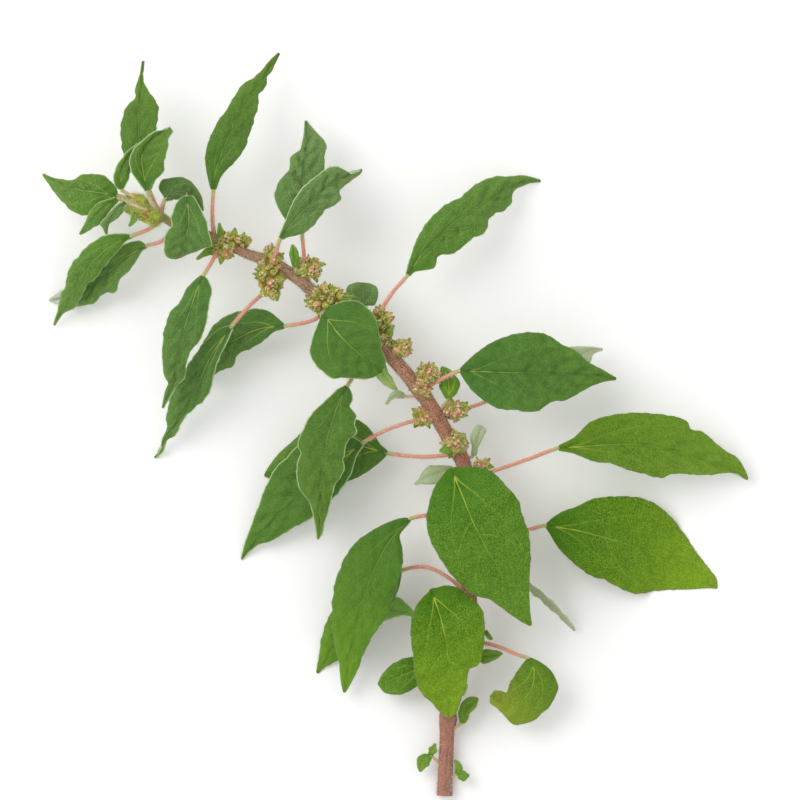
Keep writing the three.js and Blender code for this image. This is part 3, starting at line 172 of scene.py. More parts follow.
LEAVES = (
    Leaf("leaf_01", tone=LeafTone.SUNNY, fork=1.0, rise=(0.8, 0.9), wave=(0.5, 2.2, 0.4), root=(18, -42.5),
        way=((13.8, -41, 11.5), (10.2, -41.2, 14)),
        rib=((9, -40.7, 15.4), (9.4, -42.9, 16.4), (10.9, -47.5, 17.6), (12.4, -54, 17.6),
            (12.9, -59.8, 15.6), (13.1, -66.5, 12.6), (13.3, -72.9, 9.5)),
        left=((12.4, -39.8), (15.1, -40.3), (17.4, -41.8), (19.9, -43.8), (21.6, -46.5), (22, -49.8),
            (21.9, -53.5), (21.6, -56.5), (20.6, -59.3), (18.4, -60.5), (17.5, -64.3), (16.4, -67.5),
            (15.1, -71.5)),
        right=((8.1, -41.3), (5.9, -43.5), (4.1, -46.8), (3.5, -51), (4.1, -57.3), (4.6, -62.3),
            (6.1, -66.5), (8.9, -69.3), (10.6, -71.3), (11.9, -72.5))),
    Leaf("leaf_02", tone=LeafTone.GRASSY, fork=0.4, rise=(0.5, 0.6), wave=(0.3, 1.5, 0.2), root=(16, -62),
        rib=((7.9, -60.5, 6.4), (3.9, -61.5, 6.4), (-0.4, -63.3, 5.6), (-4.6, -64.8, 4)),
        left=((7.1, -63.6), (4.9, -65.3), (2.1, -67), (-0.4, -67.3), (-3, -66.8)),
        right=((6.2, -58.3), (3.9, -57.8), (0.1, -59), (-2.6, -61), (-4, -63))),
    Leaf("leaf_03", tone=LeafTone.CURLED, fork=0.4, rise=(-2.2, -0.8), wave=(0.4, 2, 0), root=(16.3, -54.2),
        way=((22.2, -54.4, 8.2), (26.2, -55.5, 9.2), (30.4, -57.3, 9.9)),
        rib=((33.1, -58.2, 10.5), (34.4, -61.5, 12), (33.6, -66, 11), (30.1, -69.3, 8.6),
            (26.4, -69.3, 8.8), (23.6, -67.5, 11.4)),
        left=((36.6, -59.5), (39.1, -61.8), (40.3, -64.8), (39.4, -68.5), (37.1, -71.5), (31.6, -74.8),
            (28.9, -74.5), (26.9, -72.3), (25.1, -70.6), (23.4, -69.3)),
        right=((31.1, -60), (28.6, -64), (27.3, -66.8), (25.9, -66.3), (24.4, -66.3))),
    Leaf("leaf_04", tone=LeafTone.LIGHT, rise=(0.3, 0.3), wave=(0.2, 1.5, 0), root=(17.4, -50),
        way=((10, -48, 5.6),),
        rib=((4.1, -47.1, 4.8), (-1.6, -45.8, 4.4), (-7.1, -47.3, 3.2), (-11.6, -49.8, 2)),
        left=((1.6, -47.5), (-2.6, -48.7), (-7.1, -50.2)),
        right=((2.6, -44.6), (1.1, -43.3), (-0.6, -42.7), (-4.1, -43), (-8.6, -45))),
    Leaf("leaf_05", tone=LeafTone.LUSH, rise=(-0.5, -0.4), wave=(0.4, 2.2, 0.8), root=(17.9, -43),
        way=((13.9, -38.6, 11.4), (7.4, -35.3, 11)),
        rib=((0.9, -36.3, 9.2), (-5.4, -41.5, 8.4), (-11.6, -49, 5.5), (-16.1, -56, 2.6),
            (-19.9, -62, 0.1)),
        left=((0.4, -41), (-2.9, -47.3), (-7.1, -53), (-11.1, -56.8), (-14.6, -58.8), (-17.9, -60.5)),
        right=((-2.9, -36), (-9.1, -38.5), (-13.6, -42.5), (-16.6, -47.3), (-18.4, -51.5), (-19.4, -57.3))),
    Leaf("leaf_06", tone=LeafTone.LUSH, rise=(0.6, -0.8), wave=(0.7, 2.6, 0.6), root=(18.6, -24.8),
        way=((11, -22.3, 14.5),),
        rib=((3.1, -23.3, 14), (-1.6, -28.5, 15.4), (-5.4, -35.5, 15.4), (-8.4, -43.5, 13.5),
            (-10.6, -52.3, 10.5), (-12.1, -59.8, 7), (-13.1, -66.8, 4)),
        left=((2.1, -25.5), (0.8, -27.3), (1.4, -30.3), (1.6, -33.5), (0.9, -37.3), (-0.1, -41.3),
            (-2.6, -47.5), (-6.4, -53.3), (-8.4, -57.5), (-9.9, -61.5), (-11.4, -64.5)),
        right=((-0.1, -23.3), (-5.9, -26), (-10.4, -29.3), (-12.6, -32.3), (-13.6, -34.3), (-15.6, -40.3),
            (-16.1, -47), (-15.6, -54.3), (-14.4, -59.5), (-13.9, -64.3))),
    Leaf("leaf_07", tone=LeafTone.PALE, rise=(3, -2.6), wave=(0.2, 2, 0), root=(18.4, -32),
        rib=((29.4, -37, 9), (37.4, -43.7, 7.2), (41.5, -47.7, 4.6), (44.7, -51.3, 2.2)),
        left=((33.8, -39.6), (38.1, -43), (42, -47.2)),
        right=((31.6, -39.8), (36.8, -44.3), (41, -48.1))),
    Leaf("leaf_08", tone=LeafTone.GRASSY, fork=1.0, rise=(0.6, 0.6), wave=(0.6, 3, 0.4), root=(18.4, -18.5),
        way=((16.9, -14.6, 17),),
        rib=((14.1, -10.4, 21.2), (14.6, -12.8, 22.3), (16.6, -17.8, 24), (19.1, -24, 25),
            (22.4, -30.5, 24.5), (25.9, -36.5, 22), (29.6, -43.5, 18.5), (33.6, -49.8, 15)),
        left=((15.6, -10.2), (18.4, -10.2), (21.1, -10.3), (24.4, -11.8), (27.4, -15), (30.4, -18.5),
            (31.1, -21.5), (32.9, -26.5), (33.4, -32.5), (33.1, -39.8), (33.4, -46.5)),
        right=((13, -10.6), (11.1, -12.8), (9.1, -16), (7.9, -20.3), (7.4, -23), (8.4, -28.3), (10.9, -33),
            (14.1, -37.5), (18.9, -41.8), (23.6, -43.5), (28.4, -47), (31.4, -49))),
    Leaf("leaf_09", tone=LeafTone.SUNNY, fork=0.45, rise=(0.5, 0.1), wave=(0.3, 2.6, 0), root=(18.4, -26.5),
        way=((28, -27, 10.8),),
        rib=((37.5, -24.9, 9.5), (45.9, -26.3, 10.2), (54.1, -28.5, 8.2), (60.5, -30.6, 4.6),
            (65.6, -32.8, 1.2), (70.4, -35.2, -0.6), (75.6, -38, -0.6), (80.4, -40.6, -0.4)),
        left=((38.5, -23.4), (41.3, -21.5), (45.4, -20), (48.9, -18.3), (55, -17.6), (61.1, -18),
            (65.3, -19.8), (68.8, -22.8), (71.9, -26.7), (75, -31.3), (78.5, -35.9), (80.3, -38.4)),
        right=((38.3, -26.9), (40.5, -30.5), (44.9, -34.8), (49.5, -37.9), (51.5, -38.2), (54.6, -39.9),
            (59.6, -42), (66.8, -41.2), (73.9, -41), (78.5, -40.7))),
    Leaf("leaf_10", tone=LeafTone.BRIGHT, fork=0.4, rise=(0.6, 0.7), wave=(0.6, 3, 0.7), root=(18, -13.5),
        way=((32, -8.6, 13.5),),
        rib=((40.6, -5.5, 13.5), (48.4, -5, 14.2), (55.9, -4.5, 14), (63.4, -5, 12.6), (70.9, -6.8, 10),
            (79.6, -9.3, 6.5), (88.1, -13.3, 3)),
        left=((44.4, -2.8), (48.4, 1), (54.1, 2.8), (60.9, 3.3), (68.9, 2.5), (72.1, 1.5), (73.9, -0.8),
            (76.6, -1.5), (79.1, -3.5), (82.1, -6), (85.4, -8), (87.1, -10.5)),
        right=((43.9, -6.8), (49.9, -9), (53.4, -9.3), (57.9, -11), (62.1, -12), (66.1, -13), (68.9, -12),
            (76.9, -12.3), (85.4, -11.9))),
    Leaf("leaf_11", fork=0.9, rise=(-0.6, -0.4), wave=(0.4, 2.4, 0), root=(15.6, -7), way=((7, -7.7, 12),),
        rib=((-2.4, -6.8, 9.2), (-10.4, -5, 9), (-17.9, -6.5, 6.4), (-25.4, -9, 3), (-33.1, -12.5, 0.2)),
        left=((-4.1, -9), (-6.6, -11), (-9.6, -12.8), (-13.4, -14.3), (-17.9, -15.3), (-24.1, -15),
            (-29.1, -14)),
        right=((-4.1, -4.5), (-5.9, -1.8), (-8.6, 1), (-12.9, 1.8), (-19.1, 0.5), (-24.1, -2),
            (-27.1, -4.8), (-29.6, -7), (-31.9, -10))),
    Leaf("leaf_12", tone=LeafTone.DEEP, downy_lit_rims=(1.0, 0.9), fork=1.0, rise=(-0.5, 0.6), wave=(0.5, 2.4, 0),
        root=(9.6, 3), way=((-2, -0.8, 15),),
        rib=((-8.6, -4.3, 14.5), (-15.4, -9.8, 14), (-24.1, -17.3, 10), (-32.1, -24.8, 5.5),
            (-38.9, -33.5, 0.2)),
        left=((-9.9, -7.5), (-11.6, -12.5), (-16.1, -18.5), (-21.1, -23), (-26.1, -25.8), (-30.6, -28.5),
            (-34.4, -29.8), (-36.6, -31.5)),
        right=((-11.1, -2.6), (-16.6, -2), (-21.6, -3), (-24.9, -5), (-27.1, -7.5), (-29.9, -10),
            (-31.6, -12.8), (-33.1, -16), (-34.9, -20.8), (-36.6, -25.3), (-38.1, -29.3))),
    Leaf("leaf_13", downy_lit_rims=(1.0, 0.8), rise=(-0.6, 0.6), wave=(0.7, 2.8, 0.5), root=(-3, 20),
        way=((-9, 14.5, 18.2),),
        rib=((-12.4, 9.8, 20), (-14.6, 5.3, 21.5), (-17.1, -2.3, 22.5), (-18.6, -9.8, 21),
            (-19.1, -18.5, 17.5), (-19.6, -28.3, 13)),
        left=((-11.1, 8.2), (-10.9, 6.5), (-11.6, 4.8), (-9.9, 2.5), (-10.4, 0.8), (-9.9, -1.5),
            (-12.1, -3.8), (-13.1, -7.3), (-13.1, -11), (-15.6, -15.5), (-16.6, -19.8), (-17.9, -24),
            (-18.4, -26.8)),
        right=((-14.6, 9.3), (-17.6, 6.5), (-21.4, 2.8), (-23.4, -1), (-24.6, -4.3), (-24, -6.5),
            (-24.9, -10), (-24.6, -14.5), (-22.9, -17.5), (-21.4, -20), (-20.4, -24.8))),
    Leaf("leaf_14", tone=LeafTone.PALE, fork=0.4, rise=(0.6, 0.4), wave=(0.4, 2, 0), root=(9.3, 3.5),
        way=((16.9, 4.3, 14),),
        rib=((23.4, 6.5, 12.5), (35.9, 12, 12), (44.6, 17, 9.5), (48.9, 19, 8), (51.6, 19.2, 7)),
        left=((27.1, 10.3), (34.6, 16), (40.9, 19), (44.6, 19.9), (48.9, 19.8)),
        right=((28.4, 6), (37.1, 7.8), (44.6, 11.5), (48.4, 15.8), (49.4, 18))),
    Leaf("leaf_15", tone=LeafTone.DEEP, fork=0.45, rise=(0.7, 0.7), wave=(0.6, 3, 0.9), root=(6.1, 9),
        way=((11.6, 11.9, 18),),
        rib=((15.9, 13.8, 19), (23.4, 13.5, 20.5), (30.9, 13.3, 21), (39.6, 13, 19.5), (48.4, 12.8, 15.5),
            (54.9, 11.8, 12)),
        left=((17.4, 16), (20.9, 19), (25.1, 21.5), (31.6, 23.3), (37.6, 22.8), (40.9, 20.5), (44.4, 19),
            (47.9, 16), (51.6, 14)),
        right=((16.9, 11.5), (18.9, 8.8), (21.9, 6.3), (25.6, 4.3), (29.6, 4), (33.4, 3.5), (36.6, 4.5),
            (38.6, 6), (42.4, 6.5), (45.9, 8.5), (50.9, 10.8))),
    Leaf("leaf_16", tone=LeafTone.DEEP, downy_lit_rims=(0.5, 1.0), fork=0.9, rise=(-0.6, -0.6), wave=(0.4, 2, 0),
        root=(-14.6, 30.6), way=((-16.6, 28.6, 20.5),),
        rib=((-18.4, 28.1, 22.9), (-16.9, 26.2, 24.4), (-13.6, 22, 26), (-9.1, 17.8, 25.5), (-5.6, 15, 23),
            (-3.7, 13.4, 20)),
        left=((-16.1, 30), (-12.1, 31.3), (-8.9, 30.8), (-5.6, 27.5), (-4.4, 23.8), (-3.9, 20), (-2.6, 16)),
        right=((-18.9, 27.2), (-21.1, 21.5), (-21.6, 18.5), (-20.6, 15.8), (-16.4, 12), (-13.4, 12),
            (-9.6, 11.7), (-6.1, 12))),
    Leaf("leaf_17", tone=LeafTone.FRESH, rise=(0.8, -1), wave=(0.6, 3, 0.2), root=(-5.4, 25.5),
        way=((-1.2, 33, 17.8),),
        rib=((2.9, 37.8, 16.5), (6.9, 43.5, 17.2), (13.4, 50, 16), (20.9, 55.3, 12.5), (27.1, 59.3, 7.6),
            (32.1, 61.3, 3.4), (36.1, 61.5, 0.1)),
        left=((3.1, 41), (5.4, 47.3), (8.4, 51.8), (13.4, 56), (15.9, 57), (18.9, 59.8), (23.9, 62.3),
            (27.6, 62.5), (32.1, 62.8)),
        right=((4.6, 38.5), (9.4, 39.5), (10.4, 42.3), (14.6, 43.3), (18.9, 46.8), (21.9, 48.3), (24.1, 53),
            (26.9, 53.8), (28.6, 55.8), (29.6, 59), (33.4, 60.8))),
    Leaf("leaf_18", tone=LeafTone.SOFT, fork=0.8, rise=(-0.4, 0.4), wave=(0.4, 2, 0.4), root=(-15.4, 30.8),
        way=((-20.5, 26.6, 14.5),),
        rib=((-28.1, 25, 12), (-33.6, 24.5, 10.8), (-39.6, 22, 8.6), (-45.1, 18, 6), (-50.1, 12.5, 3)),
        left=((-30.6, 23.5), (-33.1, 21.5), (-36.1, 19.5), (-39.6, 18), (-41.1, 15), (-44.1, 13.8),
            (-47.1, 12)),
        right=((-29.1, 26.5), (-31.6, 28.5), (-34.4, 29.3), (-37.6, 29), (-42.1, 27.8), (-45.4, 25.5),
            (-48.4, 21), (-49.9, 16.5))),
    Leaf("leaf_19", tone=LeafTone.SOFT, downy_lit_rims=(1.0, 0.4), fork=0.6, rise=(0.4, -0.6), wave=(0.6, 3, 0.2),
        root=(-31.6, 41), way=((-32.5, 34.5, 16), (-37.2, 29.5, 17.4)),
        rib=((-41.4, 24.6, 17.4), (-46.1, 17.8, 16.5), (-49.6, 10.3, 12.5), (-54.6, 1.5, 7.5),
            (-58.1, -3.5, 4), (-60.6, -8, 0.2)),
        left=((-41.7, 22), (-44.4, 16.5), (-45.4, 13.3), (-46.4, 9), (-48.6, 6), (-52.1, 3), (-53.6, 1),
            (-55.4, -2.5), (-57.4, -3.6), (-58.4, -6.5)),
        right=((-43.6, 24.6), (-47.4, 21.5), (-50.6, 17.5), (-54.1, 12), (-56.6, 7), (-57.6, 3),
            (-57.6, -0.5), (-58.6, -3), (-59.4, -6))),
    Leaf("leaf_20", tone=LeafTone.SOFT, downy_lit_rims=(0.9, 0.2), fork=0.4, rise=(-0.4, -0.4), wave=(0.6, 3, 0.6),
        root=(-43.6, 46), way=((-46.2, 40.6, 22.5),),
        rib=((-48.2, 37.3, 24), (-50, 33, 24.6), (-52, 27, 24.2), (-53.9, 20.3, 22.5), (-55.4, 12.8, 19),
            (-58.4, 4.5, 13.5)),
        left=((-46.9, 36.4), (-45.9, 33.8), (-46.4, 31.5), (-47.1, 27), (-48.6, 22), (-51.4, 18.3),
            (-52.4, 15.5), (-52.6, 12.5), (-54.6, 10.3), (-56.4, 7.3)),
        right=((-50.1, 36.5), (-52.1, 34.5), (-53.9, 31), (-56.4, 28.3), (-57.6, 25), (-58.2, 21.5),
            (-58.4, 17.5), (-58.1, 13.3), (-57.1, 11), (-57.9, 8.3))),
    Leaf("leaf_21", tone=LeafTone.DOWNY, downy_lit_rims=(1.0, 0.2), rise=(0.6, -0.6), wave=(0.5, 2.4, 0.3),
        root=(-31, 41), way=((-29.9, 43.8, 22.2),),
        rib=((-28.9, 46.8, 24), (-26.1, 50.3, 25.2), (-21.1, 55.8, 26), (-16.6, 60.3, 24.5),
            (-12.6, 62.5, 22), (-8.6, 64, 19)),
        left=((-29, 48.2), (-27.4, 52), (-26.1, 55), (-24.1, 58.5), (-21.6, 61), (-18.6, 63.3),
            (-16.6, 64.6), (-14.6, 64.7), (-12.9, 63.7), (-11.2, 62.9), (-9.9, 63.2)),
        right=((-27.1, 47), (-23.1, 48), (-20.1, 50.5), (-18.1, 53.5), (-14.9, 55.3), (-13.9, 56.8),
            (-14.1, 58.5), (-11.6, 61), (-9.1, 62.7))),
    Leaf("leaf_22", tone=LeafTone.DOWNY, rise=(0.4, 0.5), wave=(0.6, 2.6, 0.8), root=(-23.4, 36.5),
        way=((-23.1, 42, 18.8),),
        rib=((-23.6, 48.5, 18.6), (-23.6, 56.5, 19), (-23.1, 65.3, 15.5), (-22.4, 71.5, 11.5),
            (-22.7, 76.4, 8)),
        left=((-26.6, 50.3), (-28.9, 53.3), (-30.4, 57.3), (-29.6, 60.5), (-26.9, 64), (-26.4, 67),
            (-24.1, 69.3), (-23.3, 72.5)),
        right=((-20.6, 50.5), (-18.9, 55.3), (-18.1, 61.5), (-17.9, 68), (-17.4, 70), (-18.9, 72.3),
            (-20.9, 74.5))),
    Leaf("leaf_23", rise=(0.6, -0.5), wave=(0.5, 3, 0.5), root=(-45.6, 46.8), way=((-45.9, 53, 21.2),),
        rib=((-45.6, 59, 22), (-45.2, 63, 22.8), (-42.1, 71.5, 23.5), (-38.4, 79.8, 19.5),
            (-34.6, 85.5, 14.5), (-29.4, 93.3, 8)),
        left=((-47.2, 62.8), (-47.6, 67.5), (-45.6, 73.8), (-42.1, 79.3), (-38.6, 85), (-34.4, 88.1),
            (-31.9, 91.3)),
        right=((-43.6, 62.3), (-40.1, 66), (-38.1, 68.7), (-36.1, 74.5), (-34.6, 79.8), (-34.1, 83.3),
            (-32.4, 85.3), (-32.4, 87), (-31.1, 89))),
    Leaf("leaf_24", tone=LeafTone.SOFT, downy_lit_rims=(0.9, 0.9), fork=0.4, rise=(0.5, 0.5), wave=(0.4, 2, 0),
        root=(-53, 49.4), way=((-52.6, 54, 22.6),),
        rib=((-52.2, 57.2, 25.4), (-51.9, 54.6, 27.2), (-51.6, 51, 28.6), (-52.4, 46, 28),
            (-53.6, 43.2, 25.4), (-55.2, 41.7, 21.5)),
        left=((-50.6, 57.2), (-48.9, 54.5), (-47.1, 50.5), (-46.4, 47), (-45.7, 45), (-47.6, 44.3),
            (-50.6, 43.3), (-53.1, 42.2)),
        right=((-53.4, 57), (-54.9, 55.3), (-56.1, 51.3), (-55.9, 49.8), (-57.4, 48), (-57.9, 45),
            (-57.6, 42.6), (-56.6, 41.8))),
    Leaf("leaf_25", tone=LeafTone.DOWNY, rise=(0.2, -0.2), wave=(0.2, 1.6, 0), root=(-58.6, 52.6),
        rib=((-57.6, 56.6, 22.6), (-54.4, 58.6, 20.6), (-50.8, 57.2, 16.4), (-48.4, 53.8, 12.6)),
        left=((-59.2, 59.2), (-58.6, 61.2), (-56.2, 61.9), (-53.7, 62), (-51.8, 61.5), (-50.2, 59.8),
            (-48.6, 57)),
        right=((-55.4, 56.4), (-53, 56.6), (-50.4, 54.8))),
    Leaf("leaf_26", tone=LeafTone.FADED, downy_lit_rims=(0.3, 0.5), rise=(-0.5, 0.4), wave=(0.5, 2.6, 0.4),
        root=(-54.6, 50), way=((-58.9, 46, 16.6),),
        rib=((-62.6, 45, 14), (-67.9, 42, 12), (-72.9, 37.8, 9), (-79.1, 33.5, 5), (-87.1, 31.5, 0.2)),
        left=((-63.4, 43.8), (-64.6, 42), (-66.4, 39.3), (-69.4, 36.3), (-70.1, 33.8), (-73.9, 32.8),
            (-75.4, 31), (-79.1, 30), (-83.6, 30.5)),
        right=((-64.1, 46.3), (-67.6, 45.6), (-72.1, 43), (-76.6, 39), (-81.1, 35.5), (-85.1, 33.3))),
    Leaf("leaf_27", tone=LeafTone.FRESH, downy_lit_rims=(0.4, 0.5), rise=(-0.8, -0.4), wave=(0.4, 2.6, 0),
        root=(-58.2, 51.6), way=((-61.6, 49.2, 19.4),),
        rib=((-66.4, 47.3, 18), (-71.1, 45, 17.8), (-75.4, 41.5, 15.8), (-79.1, 36.8, 12), (-82.1, 32, 8),
            (-84, 28.8, 5), (-85.9, 25.3, 1.6)),
        left=((-67.2, 46.3), (-69.4, 43.8), (-72.6, 40.3), (-75.1, 37), (-77.6, 35), (-79.1, 31.8),
            (-81.1, 29.3), (-83.4, 28.2)),
        right=((-68.1, 48), (-71.4, 47.9), (-74.1, 47), (-77.1, 45), (-80.9, 40.8), (-82.6, 37.5),
            (-82.6, 35.3), (-83.9, 33.5), (-84.6, 30.3))),
    Leaf("leaf_28", rise=(0.5, 0.4), wave=(0.5, 2.6, 0.8), root=(-58.8, 52.6), way=((-60.2, 55.4, 21.6),),
        rib=((-61.6, 59, 22.8), (-63.9, 69, 22), (-64.4, 77.8, 18), (-63.9, 84, 13.8), (-63.4, 91.3, 9)),
        left=((-64.6, 61.6), (-67.3, 66), (-68.6, 70.8), (-68.6, 76), (-67.1, 80), (-65.4, 82), (-65.1, 85),
            (-64.2, 88)),
        right=((-60.2, 61.2), (-59.7, 66.5), (-59.9, 73), (-59.6, 77), (-59.4, 79.5), (-61.4, 83),
            (-63.2, 86))),
    Leaf("leaf_29", downy_lit_rims=(0.9, 0.3), fork=0.5, green_stalk=True, rise=(0.8, 1.8), wave=(0.3, 1.6, 0),
        root=(-59.6, 53), way=((-61.4, 56.4, 23.8),),
        rib=((-62, 58.6, 27), (-62.9, 62.8, 27), (-63.4, 66.5, 27.6), (-62.3, 69.6, 28), (-60.2, 72, 27.8),
            (-56.3, 74.3, 26.2)),
        left=((-64.4, 60.8), (-66.1, 63.5), (-66.4, 66.5), (-65.4, 68.8), (-63.9, 70.4), (-61.8, 72.2),
            (-60.1, 73.4), (-58, 73.6)),
        right=((-59.9, 61.2), (-57.9, 63.2), (-57.7, 65.8), (-56.8, 69.2), (-56.6, 71.5), (-55.6, 73.4))),
    Leaf("leaf_30", tone=LeafTone.FRESH, downy_lit_rims=(0.4, 0.9), green_stalk=True, rise=(0.8, -0.8),
        wave=(0.3, 1.6, 0), root=(-59.9, 53.2), way=((-65.6, 57.2, 22.8),),
        rib=((-68.6, 59, 24.4), (-68.4, 63.5, 25.2), (-66.6, 67.3, 25.2), (-62.6, 71, 24)),
        left=((-70.1, 59.8), (-70.4, 62.5), (-69.4, 65), (-68, 67.3), (-65.6, 69.7)),
        right=((-67.4, 60), (-66.4, 62.5), (-65.9, 65), (-65.2, 67.3), (-63.7, 69.3))),
    Leaf("leaf_31", tone=LeafTone.FRESH, fork=0.3, green_stalk=True, rise=(-0.6, 0.4), wave=(0.4, 2.2, 0),
        root=(-59.8, 53), way=((-65, 56, 20.4),),
        rib=((-69.6, 57.5, 20.6), (-74.6, 58.3, 20), (-79.6, 59, 18), (-84.1, 60.8, 14.5),
            (-88.4, 62.9, 11)),
        left=((-72.1, 54.5), (-74.6, 53), (-76.9, 52.5), (-79.5, 52.9), (-82.6, 55.1), (-85.6, 58.6)),
        right=((-69.9, 59.6), (-71.2, 61), (-72.9, 62.4), (-77.9, 62.8), (-80.8, 61.5), (-85.3, 61.9))),
    Leaf("leaf_32", tone=LeafTone.FRESH, downy_lit_rims=(0.3, 0.4), green_stalk=True, rise=(-0.5, 0.3),
        wave=(0.2, 1.6, 0), root=(-59.6, 53), way=((-65.2, 55, 22),),
        rib=((-69.6, 56.5, 23.6), (-72.9, 54.3, 23.6), (-76.1, 51, 21.6), (-79, 47.9, 17.5)),
        left=((-71.4, 53.6), (-73.1, 51), (-74.4, 50.2), (-77.3, 48.4)),
        right=((-71.6, 56.6), (-74.7, 55.4), (-76.1, 53.8), (-76.9, 52.3), (-78.1, 50))),
    Leaf("leaf_33", tone=LeafTone.DOWNY, downy_lit_rims=(0.5, 0.5), green_stalk=True, rise=(-0.4, 0.3),
        wave=(0.2, 1.6, 0), root=(-59.6, 53), way=((-63.8, 54.4, 24),),
        rib=((-67.4, 55.6, 26.2), (-70.2, 52.8, 26.2), (-71.9, 50.2, 24.4), (-72.3, 47.8, 21.4)),
        left=((-67.4, 54.9), (-68, 53.2), (-69.3, 51.9), (-71.1, 50.8), (-71.8, 49.6)),
        right=((-69.4, 55.2), (-72.1, 52.5), (-73.8, 50.3), (-73.1, 49.1))),
)

SMALL_LEAVES = (
    Leaf("small_leaf_01", tone=LeafTone.YOUNG, rise=(0.2, 0.2), root=(16.8, -58),
        rib=((20.4, -57.5, 8.4), (23.4, -57.5, 8.8), (26.5, -56.9, 8.4)),
        left=((22.1, -56), (24.4, -56.1)),
        right=((21.6, -59.5), (23.9, -58.9))),
    Leaf("small_leaf_02", tone=LeafTone.YOUNG, rise=(0.2, 0.2), root=(14.4, -76.6),
        rib=((16.4, -74.4, 5.4), (17.4, -71.3, 6.2), (20.4, -68.1, 6.6)),
        left=((15.6, -71.3), (16.6, -69), (18.5, -67.8)),
        right=((17.7, -73.9), (18.5, -71.8), (20, -70.3))),
    Leaf("small_leaf_03", tone=LeafTone.YOUNG, fork=0.7, rise=(0.2, 0.2), root=(10, 2.6),
        rib=((12.9, 6.8, 16.2), (13.1, 9.5, 15.6), (12.4, 13, 14.4), (11.3, 14.8, 13.4)),
        left=((10.9, 9.3), (10.8, 12.4)),
        right=((15.1, 8.3), (15.8, 10.3), (14.9, 12.5), (13.1, 14.3))),
    Leaf("small_leaf_04", tone=LeafTone.PALE, rise=(0.3, -0.3), root=(16.4, -8.6),
        rib=((19.3, -7.3, 14.4), (20, -4, 14.2), (21.6, 0, 13.4)),
        left=((18.8, -5.3), (18.6, -2.6), (19.3, -0.5), (20.4, 0.3)),
        right=((20.9, -4), (22.4, -1.3))),
    Leaf("small_leaf_05", tone=LeafTone.PALE, rise=(0.3, -0.3), root=(17.4, -11.6),
        rib=((13.9, -10.6, 10.4), (9.9, -12.3, 9.8), (6.9, -13.3, 8.6), (4.6, -14.6, 7)),
        left=((12.6, -13.2), (9.6, -14.6), (6.4, -14.5)),
        right=((12, -9.9), (8.4, -10), (6.5, -11.4), (5.7, -13))),
    Leaf("small_leaf_06", tone=LeafTone.PALE, rise=(-0.2, 0.2), root=(7, 7.4),
        rib=((1.9, 7.5, 14.2), (-0.1, 7.8, 14.2), (-2.6, 5.5, 12.6)),
        left=((0.6, 7), (-1.1, 6.5)),
        right=((0.9, 8.8), (-0.1, 8.9), (-1.4, 8))),
    Leaf("small_leaf_07", tone=LeafTone.YOUNG, rise=(0.1, 0.1), root=(-24.8, 36.8),
        rib=((-25.2, 39.6, 21.6), (-25.5, 42.4, 23.2), (-25.9, 45.2, 24)),
        left=((-26.3, 41), (-26.6, 43.5)),
        right=((-24.3, 40.5), (-24.5, 43.5))),
    Leaf("small_leaf_08", tone=LeafTone.DOWNY, rise=(0.3, 0.3), root=(-8.6, 27.2),
        rib=((-7.9, 30, 15.2), (-8.4, 32.5, 14.2), (-8.1, 35.8, 12)),
        left=((-10.4, 30.6), (-12.6, 33), (-12.1, 35), (-10.1, 35.9)),
        right=((-5.4, 30.3), (-4.6, 33), (-5.1, 34.8), (-6.6, 35.7))),
    Leaf("small_leaf_09", tone=LeafTone.LIGHT, rise=(0.2, -0.2), root=(-4.4, 21.6),
        rib=((-6.4, 17.5, 16.2), (-3, 12.8, 15), (0.1, 9.1, 13)),
        left=((-3.6, 16.6), (-2.1, 13.8), (-0.9, 11.5)),
        right=((-6.4, 15.2), (-5.2, 12.6), (-3.1, 10.3), (-1.4, 9.3))),
    Leaf("small_leaf_10", tone=LeafTone.YOUNG, rise=(0.1, 0.1), root=(17.2, -49.4),
        rib=((22.1, -51.4, 9.6), (23, -52.4, 9.8), (23.9, -53.4, 9.4)),
        left=((22.9, -51.5), (23.7, -52.4)),
        right=((22.1, -52.3), (22.9, -53.2))),
    Leaf("small_leaf_11", tone=LeafTone.LIGHT, rise=(0.1, 0.1), root=(15.2, -68.6),
        rib=((16.3, -67.3, 7.8), (17, -66, 8.2), (17.7, -64.7, 8)),
        left=((16.1, -66.2), (16.6, -65.2)),
        right=((17.3, -66.9), (17.8, -65.6))),
)

SHOOTS = (
    Shoot("shoot_left", fork=(8.9, -82.8, 3.6), root=(12.6, -86),
        blades=(Oval(((8.5, -82.8, 3.8), (6.8, -84, 4), (5.9, -86.7, 3.2)), 1.8),
            Oval(((8.6, -82.4, 3.8), (9.2, -81, 4.4), (9.7, -79.6, 4.2)), 1.1))),
    Shoot("shoot_right", fork=(15, -87.6, 3.2), root=(12.4, -88.4),
        blades=(Oval(((15.2, -87.3, 3.4), (15.6, -85.4, 3.8), (14.6, -83.8, 3.2)), 1.1),
            Oval(((15.4, -87.7, 3.4), (16.9, -87.7, 3.8), (18.2, -87.6, 3.2)), 1.4))),
)

